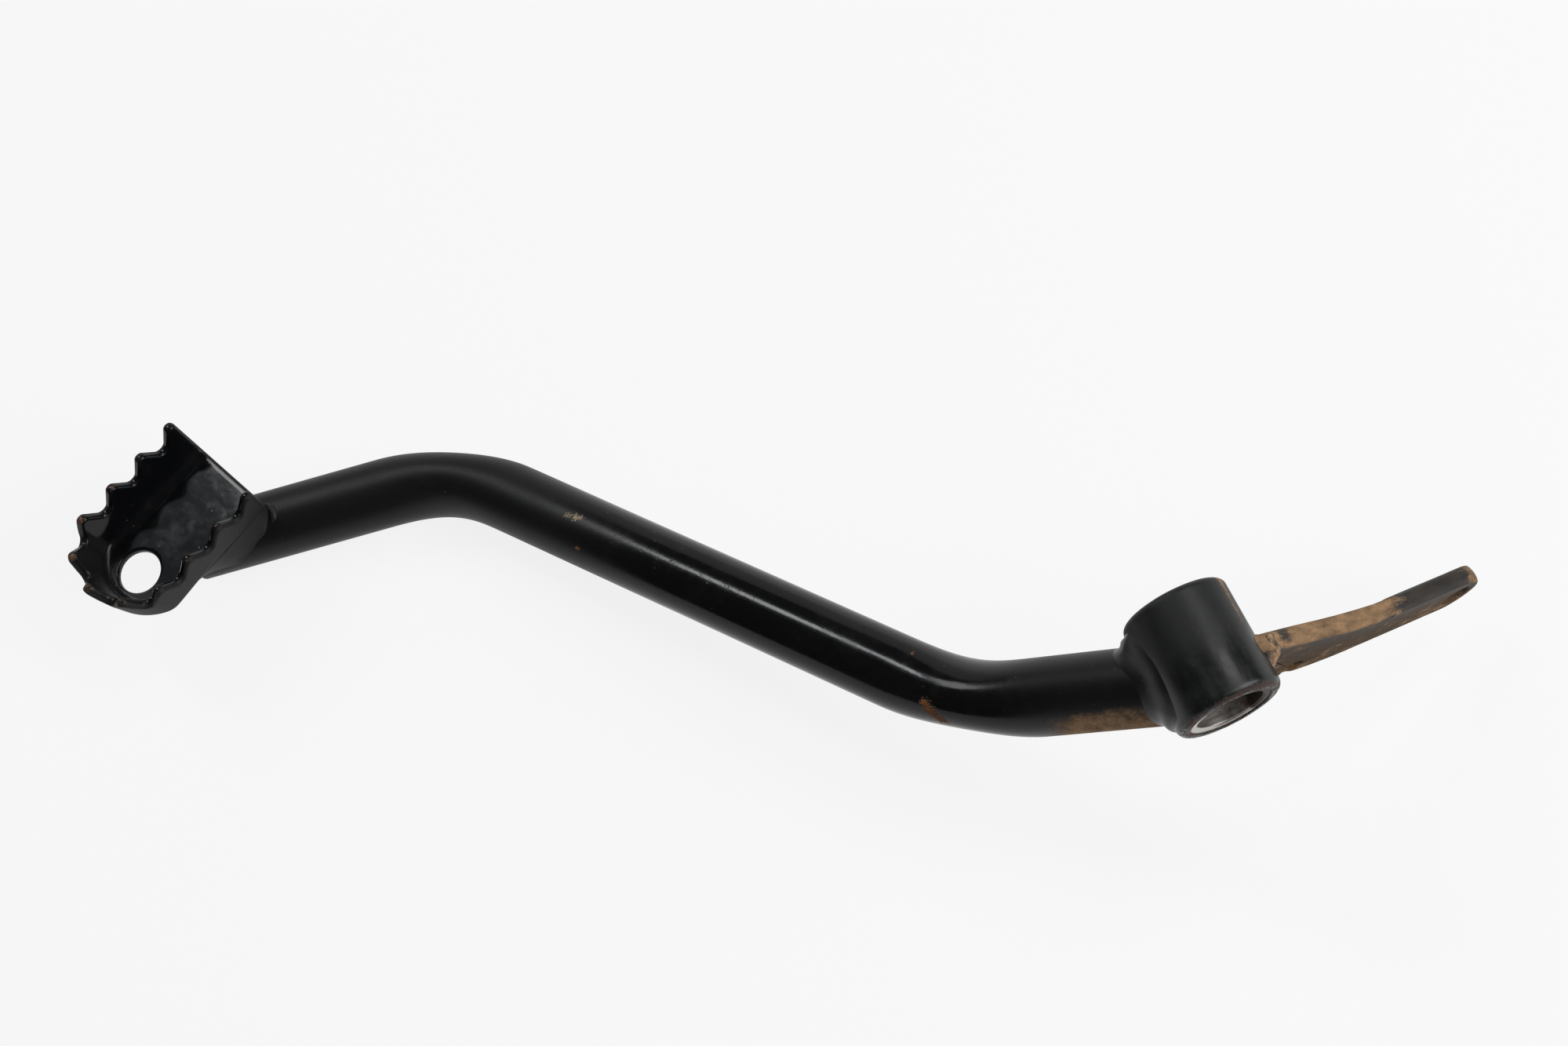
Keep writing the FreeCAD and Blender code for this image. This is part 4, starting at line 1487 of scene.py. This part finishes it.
    def marks(self, x: Array, side: Array) -> Dict[Mark, Array]:
        """Dried dirt, thick on the upper rim and the tip and thin on the faces, which are dull as well.

        On the rim the dirt fades past the middle and is thinner over a short patch by the boss. On the faces
        both marks climb evenly across the plate.

        Args:
            x: distance along the plate.
            side: distance across it.

        Returns:
            The marks at those places.
        """
        rim = eased(*self.rim_dirt, self.half_width(x) + side)
        patch = eased(*self.patch_reach, np.abs(x - self.rim_patch))
        kept = eased(*self.rim_fade, x) * (1.0 - self.patch_share * patch)
        to_end = self.eye_half - np.hypot(np.maximum(x - self.eye, 0.0), side)
        tip = eased(*self.tip_along, x - self.eye) * eased(*self.tip_rim, to_end)
        across = side / self.half_width(x)
        face = (self.face_dirt + self.face_dirt_climb * across) * (1.0 - rim)
        return {Mark.DIRT: np.maximum(face, np.maximum(rim * kept, tip * self.tip_share)),
                Mark.DULL: (self.face_dull + self.face_dull_climb * across) * (1.0 - rim)}

    def dress(self) -> bpy.types.Object:
        """Builds the plate and covers it in dirty black paint, streaked along the plate."""
        finish = AgedPaint("dirty_black_lever", paint=(0.016, 0.016, 0.016, 1.0), rough=0.38, specular=0.35,
                           dust=0.2, dust_tone=(0.128, 0.076, 0.038, 1.0), dust_from=0.40, dull_dust=0.80,
                           dirt_dark=(0.070, 0.043, 0.023, 1.0), dirt_light=(0.300, 0.180, 0.092, 1.0),
                           dirt_blend=0.40, dirt_ragged=1.5, streak=(0.50, 1.0, 1.0),
                           streak_turn=math.radians(self.angle))
        return dressed(self.build(), finish, ["rear_lever"])


# The welds


@dataclass
class Welds:
    """Beads that join the arm, the lever and the step.

    A swell is the wavelength and the seed of an uneven field. Places in the section of the outboard step bead
    are given across from the tube's middle, and up from the floor's underside or, for step_inner, from the
    tube's middle.
    """

    arm: PedalArm = field(default_factory=PedalArm)
    pivot: Pivot = field(default_factory=Pivot)
    step: StepCup = field(default_factory=StepCup)
    lever: RearLever = field(default_factory=RearLever)
    sunk: float = 0.05
    arm_leg_tube: float = 3.2
    arm_longer_above: float = 0.6
    arm_leg_boss: float = 5.4
    arm_fuller_above: float = 0.45
    arm_crest: float = 0.55
    arm_crest_at: float = 0.66
    arm_crest_width: float = 0.22
    arm_hollow: float = 0.55
    arm_depth: float = 1.0
    arm_around: int = 240
    arm_rows: int = 26
    arm_uneven: float = 0.08
    arm_uneven_swell: Swell = (14.0, 4)
    arm_lumps: float = 0.08
    arm_lump_swell: Swell = (6.0, 7)
    arm_dull: float = 0.30
    lever_leg_inboard: float = 3.1
    lever_leg_outboard: float = 1.3
    lever_spread: float = 49.0
    lever_depth: float = 0.8
    lever_above_low: float = 0.6
    lever_below_top: float = 0.2
    lever_roundings: Sequence[float] = (0.2, 0.5, 0.6, 1.0, 0.2)
    lever_spacing: float = 0.3
    lever_rows: int = 120
    lever_end: float = 0.22
    lever_ripple: float = 0.05
    lever_ripple_rate: float = 31.0
    lever_lumps: float = 0.16
    lever_swell: Swell = (4.0, 11)
    lever_dirt: float = 0.55
    step_leg: float = 6.7
    step_toe: float = 36.0
    step_end_gap: float = 3.0
    step_end: float = 2.2
    step_joint: Pair = (3.6, -0.4)
    step_root: Pair = (3.0, -0.6)
    step_anchor: Pair = (5.0, -1.0)
    step_inner: Pair = (4.6, 4.7)
    step_hollow: float = 0.12
    step_rows: int = 90
    step_section: int = 14
    step_ripple: float = 0.04
    step_ripple_rate: float = 2.6
    step_lumps: float = 0.06
    step_swell: Swell = (5.0, 19)
    wall_from: float = 5.0
    wall_rear_gap: float = 0.5
    wall_toe: float = 1.6
    wall_sunk: float = 0.08
    wall_turn: float = 34.0
    wall_turn_most: float = 80.0
    wall_sine_most: float = 0.99
    wall_depth: float = 1.6
    wall_hollow: float = 0.60
    wall_end: float = 3.0
    wall_rows: int = 110
    wall_section: int = 18
    wall_lumps: float = 0.05
    wall_swell: Swell = (6.0, 19)
    wall_dull: float = 0.8
    rear_radius: float = 1.1
    rear_places: Sequence[Pair] = ((30.5, -9.5), (31.5, -14.2), (28.0, -14.8))
    rear_sunk: float = 0.6
    rear_bumps: Pair = (0.35, 0.75)
    rear_bump_width: float = 0.08
    rear_bump_height: float = 0.16
    rear_rows: int = 80
    rear_around: int = 28
    rear_dull: float = 0.6

    @staticmethod
    def bead(name: str, coat: str, nodes: Sequence[str], points: Array, marks: Marks,
             ring: bool = False) -> bpy.types.Object:
        """A bead in black paint.

        Args:
            name: name of the piece.
            coat: name of its material.
            nodes: names of the replaced nodes, which may be none.
            points: grid whose rows, or columns for a ring, are closed sections.
            marks: marks of the surface.
            ring: whether the bead closes on itself.

        Returns:
            The bead.
        """
        piece = sewn_object(name, [Patch(points, ring, True, marks)])
        finish = AgedPaint(coat, paint=(0.0046, 0.0047, 0.0050, 1.0), rough=0.15, dust=0.14, specular=0.26)
        return dressed(piece, finish, nodes)

    @staticmethod
    def fillet(first: Array, last: Array, joint: Array, hollow: float, count: int) -> Array:
        """Curve from one toe of a bead to the other, drawn toward the joint: a parabola with three points.

        Args:
            first: toes on one face.
            last: toes on the other face.
            joint: corners between the two joined faces.
            hollow: 1 for a hollow bead that reaches for the joint, 0 for a flat one.
            count: number of steps.

        Returns:
            Points, one row for each step.
        """
        middle = (first + last) / 2 * (1 - hollow) + joint * hollow
        share = np.linspace(0.0, 1.0, count)[:, None, None]
        return (1 - share) ** 2 * first + 2 * share * (1 - share) * middle + share ** 2 * last

    def arm_bead(self) -> bpy.types.Object:
        """Ring round the coped end of the tube: a hollow fillet with a low crest by its toe on the boss.

        The toe on the tube is a leg along the tube from the joint, longer above. The toe on the boss is a leg
        away from the tube, square to the boss's radius and then put back onto the boss; it is longer above
        and shorter below. The crest is a bell curve over the section.
        """
        way = self.arm.root_direction()
        first = unit(np.cross(way, PIVOT_AXIS))
        second = np.cross(way, first)
        ring = round_ways(full_turn(self.arm_around), first, second)
        root, boss = np.asarray(self.arm.root), self.pivot.boss_radius
        joint = self.arm.on_boss(root + ring * (self.arm.radius - self.sunk), boss)
        uneven = swell(joint, *self.arm_uneven_swell)[:, None]
        longer = 1.0 + self.arm_longer_above * np.maximum(ring[:, 2:], 0.0)
        on_tube = joint + way * self.arm_leg_tube * longer * (1.0 + self.arm_uneven * uneven)
        facing = unit(joint * OFF_AXIS)
        away = unit(ring - facing * (ring * facing).sum(-1, keepdims=True))
        on_boss = joint + away * self.arm_leg_boss * (1.0 + self.arm_fuller_above * ring[:, 2:])
        low = -self.pivot.boss_half + self.pivot.outboard_rounding
        high = self.pivot.boss_half - self.pivot.inboard_rounding
        height = np.clip(on_boss[:, 1:2], low, high)
        on_boss = unit(on_boss * OFF_AXIS) * (boss - self.sunk) + height * PIVOT_AXIS
        inside = self.arm.on_boss(root + ring * (self.arm.radius - self.arm_depth), boss - self.arm_depth)
        bead = self.fillet(on_tube, on_boss, joint, self.arm_hollow, self.arm_rows)
        share = np.linspace(0.0, 1.0, self.arm_rows)[:, None]
        bell = np.exp(-((share - self.arm_crest_at) / self.arm_crest_width) ** 2)
        crest = self.arm_crest * np.sin(math.pi * share) * bell
        lumps = self.arm_lumps * np.sin(math.pi * share) * swell(bead, *self.arm_lump_swell)
        bead = bead + unit(bead - inside) * (crest + lumps)[..., None]
        points = np.concatenate([bead, inside[None]])
        return self.bead("bead_arm", "painted_arm_bead", ["weld_arm_boss"], points,
                         {Mark.DULL: self.arm_dull}, ring=True)

    def lever_bead(self) -> bpy.types.Object:
        """Band round the boss at the root of the lever, which shrinks into the boss at both ends.

        Its section is a rounded loop of radius and height that is scaled about a point in the boss.
        """
        boss, top = self.pivot.boss_radius, self.lever.inboard_face
        low = top - self.lever.thickness
        leg, back, foot = self.lever_leg_inboard, self.lever_leg_outboard, boss - self.lever_depth
        corners = [(foot, low - back), (boss + back, low), (boss + leg, low + self.lever_above_low),
                   (boss + leg, top - self.lever_below_top), (foot, top + leg)]
        loop = rounded_loop(corners, self.lever_roundings, self.lever_spacing)
        anchor = np.array([foot, (top + low) / 2])
        share = np.linspace(-1.0, 1.0, self.lever_rows)
        ripple = self.lever_ripple * np.sin(self.lever_ripple_rate * share) * (1 - share ** 2)
        size = edge_share(1.0 - np.abs(share), self.lever_end) * (1.0 + ripple)
        turn = math.radians(self.lever.angle) + share * math.radians(self.lever_spread)
        spots = anchor + (loop[None] - anchor) * size[:, None, None]
        radius, height = spots[..., 0], spots[..., 1]
        points = np.stack([radius * np.cos(turn)[:, None], height, radius * np.sin(turn)[:, None]], -1)
        lumps = self.lever_lumps * swell(points, *self.lever_swell) * size[:, None]
        points = points + unit(points * OFF_AXIS) * lumps[..., None]
        return self.bead("bead_lever", "dirty_lever_bead", ["weld_lever_boss"], points,
                         {Mark.DIRT: self.lever_dirt})

    def wall_bead(self) -> bpy.types.Object:
        """Hollow fillet between the foot of the step's inboard wall and the tube under it.

        One toe lies on the wall a little above its foot, the other on the tube, a set angle further round
        than the foot. A parabola drawn toward the foot joins them, and the section shrinks to a point at both
        ends.
        """
        forward, inboard = self.arm.front_direction(), self.arm.front_side()
        end, tube, step = self.arm.end(), self.arm.radius, self.step
        along = np.linspace(self.wall_from, step.straight - self.wall_rear_gap, self.wall_rows)
        lean = step.wall_lean / (step.wall_height + step.sheet)
        foot_height, toe_height = np.full(self.wall_rows, -step.sheet), np.full(self.wall_rows, self.wall_toe)
        foot = step.at(along, (step.wall_height - foot_height) * lean - step.half_width, foot_height)
        toe_across = (step.wall_height - toe_height) * lean - step.half_width + self.wall_sunk
        on_wall = step.at(along, toe_across, toe_height)
        axis = end + ((foot - end) @ forward)[:, None] * forward
        sine = np.clip((foot - end) @ inboard / tube, -self.wall_sine_most, self.wall_sine_most)
        angle = np.arcsin(sine)
        further = np.minimum(angle + math.radians(self.wall_turn), math.radians(self.wall_turn_most))
        on_tube = axis + (tube - self.sunk) * round_ways(further, UP, inboard)
        corner = axis + tube * round_ways(angle, UP, inboard)
        inside = corner - self.wall_depth * inboard
        bead = self.fillet(on_wall, on_tube, corner, self.wall_hollow, self.wall_section)
        section = np.concatenate([bead, inside[None]])
        share = np.linspace(0.0, 1.0, self.wall_rows)
        to_end = np.minimum(share, 1.0 - share) * (along[-1] - along[0])
        size = edge_share(to_end, self.wall_end)[:, None]
        points = np.swapaxes(inside + (section - inside) * size, 0, 1)
        lumps = self.wall_lumps * swell(points, *self.wall_swell) * size
        points = points + (inboard + UP) * lumps[..., None]
        return self.bead("bead_step_inboard", "painted_bead_step_inboard", ["weld_step_inboard"], points,
                         {Mark.DULL: self.wall_dull})

    def step_bead(self) -> bpy.types.Object:
        """Long fillet under the floor on the tube's outboard side, which shrinks to nothing at both ends.

        It runs back from near the tube's end until its toe on the floor is a set gap short of the rear edge.
        """
        forward, outboard = self.arm.front_direction(), -self.arm.front_side()
        end, step = self.arm.end(), self.step
        under = np.array([0.0, step.floor_top - step.sheet])
        reach = step.straight - self.step_end_gap - (end - step.centre) @ step.along
        length = (reach - self.step_leg * (outboard @ step.along)) / -(forward @ step.along)
        share = np.linspace(0.0, 1.0, self.step_rows)
        way = self.step_end_gap + (length - self.step_end_gap) * share
        size = edge_share(np.minimum(share, 1 - share) * (length - self.step_end_gap), self.step_end)
        toe, tube = math.radians(self.step_toe), self.arm.radius - self.sunk
        on_floor = under + [[self.step_leg, self.sunk]]
        on_tube = np.array([[tube * math.cos(toe), end[2] + tube * math.sin(toe)]])
        joint = under + self.step_joint
        bead = self.fillet(on_floor, on_tube, joint, self.step_hollow, self.step_section)[:, 0]
        inner = np.array([0.0, end[2]]) + self.step_inner
        loop = np.vstack([bead, inner, under + self.step_root])
        anchor = under + self.step_anchor
        grown = anchor + (loop[None] - anchor) * size[:, None, None]
        points = end - way[:, None, None] * forward + grown[..., :1] * outboard
        points[..., 2] = grown[..., 1]
        ripple = self.step_ripple * np.sin(self.step_ripple_rate * way)[:, None]
        lumps = (ripple + self.step_lumps * swell(points, *self.step_swell)) * size[:, None]
        on_bead = np.concatenate([np.sin(np.linspace(0.0, math.pi, self.step_section)), [0.0, 0.0]])
        points = points + outboard * (lumps * on_bead)[..., None]
        return self.bead("bead_step_outboard", "painted_bead_step_outboard", ["weld_step_outboard"], points,
                         {})

    def rear_bead(self) -> bpy.types.Object:
        """Short smooth bead on the tube round the rear end of the step's inboard wall.

        Its middle is a parabola drawn toward the second of three places of the step; its round section swells
        from nothing by the root of a sine and carries two low bumps.
        """
        share = np.linspace(0.0, 1.0, self.rear_rows)
        weights = np.stack([(1 - share) ** 2, 2 * share * (1 - share), share ** 2], -1)
        along, across = (weights @ np.asarray(self.rear_places)).T
        line = self.step.at(along, across, np.zeros(self.rear_rows))
        gap = (line - self.arm.end()) @ self.arm.front_side()
        rise = np.sqrt(np.maximum(self.arm.radius ** 2 - gap ** 2, 0.0))
        line[:, 2] = self.arm.end()[2] + rise - self.rear_sunk
        bumps = sum(np.exp(-((share - place) / self.rear_bump_width) ** 2) for place in self.rear_bumps)
        size = self.rear_radius * np.sqrt(np.sin(math.pi * share)) * (1.0 + self.rear_bump_height * bumps)
        way = unit(np.gradient(line, axis=0))
        side = unit(np.cross(way, UP))
        top = np.cross(side, way)
        ring = round_ways(full_turn(self.rear_around), side[:, None], top[:, None])
        points = line[:, None] + ring * size[:, None, None]
        return self.bead("bead_step_rear", "painted_bead_step_rear", [], points, {Mark.DULL: self.rear_dull})

    def dress(self) -> List[bpy.types.Object]:
        """Builds all the beads."""
        return [self.arm_bead(), self.lever_bead(), self.wall_bead(), self.step_bead(), self.rear_bead()]


# The studio


def placed(name: str, data: Any, axes: Sequence[Array], spot: Array) -> bpy.types.Object:
    """Adds a lamp or a camera to the scene.

    Args:
        name: name of the object.
        data: the lamp or camera.
        axes: its own X, Y and Z axes in the frame.
        spot: its place, in metres.

    Returns:
        The new object.
    """
    turn = np.eye(4)
    turn[:3, :3] = np.stack(axes, 1)
    turn[:3, 3] = spot
    holder = bpy.data.objects.new(name, data)
    holder.matrix_world = Matrix(turn.tolist())
    bpy.context.scene.collection.objects.link(holder)
    return holder


@dataclass(frozen=True)
class Lamp:
    """A soft rectangular lamp that looks at the part."""

    name: str
    place: Point
    size: Pair
    level: float
    tint: Point = (1.0, 1.0, 1.0)

    def hang(self, aim: Point) -> None:
        """Hangs the lamp at its place and turns it to a point."""
        light = bpy.data.lights.new(self.name, "AREA")
        light.shape = "RECTANGLE"
        light.size, light.size_y = self.size
        light.energy = self.level
        light.color = self.tint
        back = unit(np.subtract(self.place, aim))
        right = unit(np.cross(UP, back))
        placed(self.name, light, [right, np.cross(back, right), back], np.asarray(self.place))


@dataclass
class Studio:
    """Pale floor, soft lamps, dim surroundings and the camera."""

    image_width: float = 1999.0
    focal_pixels: float = 3000.0
    sensor_width: float = 36.0
    clip: Range = (0.01, 20.0)
    pivot_way: Point = (0.411, 0.834, -0.369)
    upright_way: Point = (-0.163, -0.308, -0.937)
    pivot_place: Point = (79.13, 25.62, 446.0)
    place_scale: float = 450.0 / 446.0
    floor_half: float = 10.0
    floor_gap: float = 0.0003
    floor_tone: float = 0.7
    seen_white: float = 0.85
    surround: float = 0.06
    aim: Point = (0.075, -0.062, -0.026)
    lamps: Sequence[Lamp] = (
        Lamp("key", (0.366, -0.957, 1.268), (0.235, 0.28), 3.0),
        Lamp("glow", (0.389, -0.958, 1.280), (0.60, 0.60), 0.55, (0.75, 0.88, 1.0)),
        Lamp("low", (0.495, -1.120, 0.897), (0.42, 0.32), 2.8),
        Lamp("over_pivot", (-0.70, -0.35, 1.16), (0.50, 0.50), 3.5),
        Lamp("fill", (-0.775, 0.463, 0.724), (0.90, 0.90), 12.5),
        Lamp("panel", (-0.45, -1.41, 0.33), (1.80, 0.70), 2.4),
    )

    def camera(self) -> None:
        """Camera that sees the pivot axis, the upright way and the pivot's place as the photograph does.

        The frame's Y axis and Z axis are given in camera axes (right, down, away). With their cross product
        they are the columns of a matrix whose rows are the camera's axes in the frame.
        """
        y = unit(self.pivot_way)
        upright = np.asarray(self.upright_way)
        z = unit(upright - y * (upright @ y))
        axes = np.stack([np.cross(y, z), y, z], 1)
        spot = -(np.asarray(self.pivot_place) * self.place_scale) @ axes
        lens = bpy.data.cameras.new("photo_camera")
        lens.sensor_width = self.sensor_width
        lens.lens = self.sensor_width * self.focal_pixels / self.image_width
        lens.clip_start, lens.clip_end = self.clip
        right, down, away = axes
        bpy.context.scene.camera = placed("photo_camera", lens, [right, -down, -away], spot * MM)

    def floor(self, level: float) -> None:
        """Flat pale floor, which shows the camera and mirrors a share of plain white."""
        half = self.floor_half
        corners = ((-half, -half), (half, -half), (half, half), (-half, half))
        mesh = bpy.data.meshes.new("floor")
        mesh.from_pydata([(x, y, level) for x, y in corners], [], [(0, 1, 2, 3)])
        piece = bpy.data.objects.new("floor", mesh)
        bpy.context.scene.collection.objects.link(piece)
        sheet = NodeSheet("pale_floor")
        path = sheet.node("ShaderNodeLightPath")
        camera, glossy, through = [Value(sheet, path.outputs[kind]) for kind in (
            "Is Camera Ray", "Is Glossy Ray", "Is Transmission Ray")]
        seen = camera.or_more(glossy).or_more(through) * self.seen_white
        tone = self.floor_tone
        plain = sheet.node("ShaderNodeBsdfDiffuse", {}, {"Color": (tone, tone, tone, 1.0)})
        white = sheet.node("ShaderNodeEmission", {}, {"Color": WHITE, "Strength": 1.0})
        both = sheet.node("ShaderNodeMixShader", {}, {0: seen, 1: plain.outputs[0], 2: white.outputs[0]})
        mesh.materials.append(sheet.close(both))

    def lights(self) -> None:
        """The lamps, and dim white surroundings."""
        for lamp in self.lamps:
            lamp.hang(self.aim)
        world = bpy.data.worlds.new("surround")
        bpy.context.scene.world = world
        world.use_nodes = True
        sky = world.node_tree.nodes["Background"]
        sky.inputs["Color"].default_value = WHITE
        sky.inputs["Strength"].default_value = self.surround

    def set_up(self, lowest: float) -> None:
        """Puts up the floor just under the part, the lamps and the camera."""
        self.floor(lowest - self.floor_gap)
        self.lights()
        self.camera()
        bpy.context.scene.view_settings.view_transform = "Standard"


def main() -> None:
    """Builds the part's pieces in order, then the studio."""
    logging.basicConfig(level=logging.INFO, format="%(name)s %(message)s")
    PedalArm().dress()
    pivot = Pivot()
    pivot.boss()
    pivot.sleeve()
    StepCup().dress()
    RearLever().dress()
    Welds().dress()
    Studio().set_up(float(cad_box[0][2]))


if __name__ == "__main__":
    main()
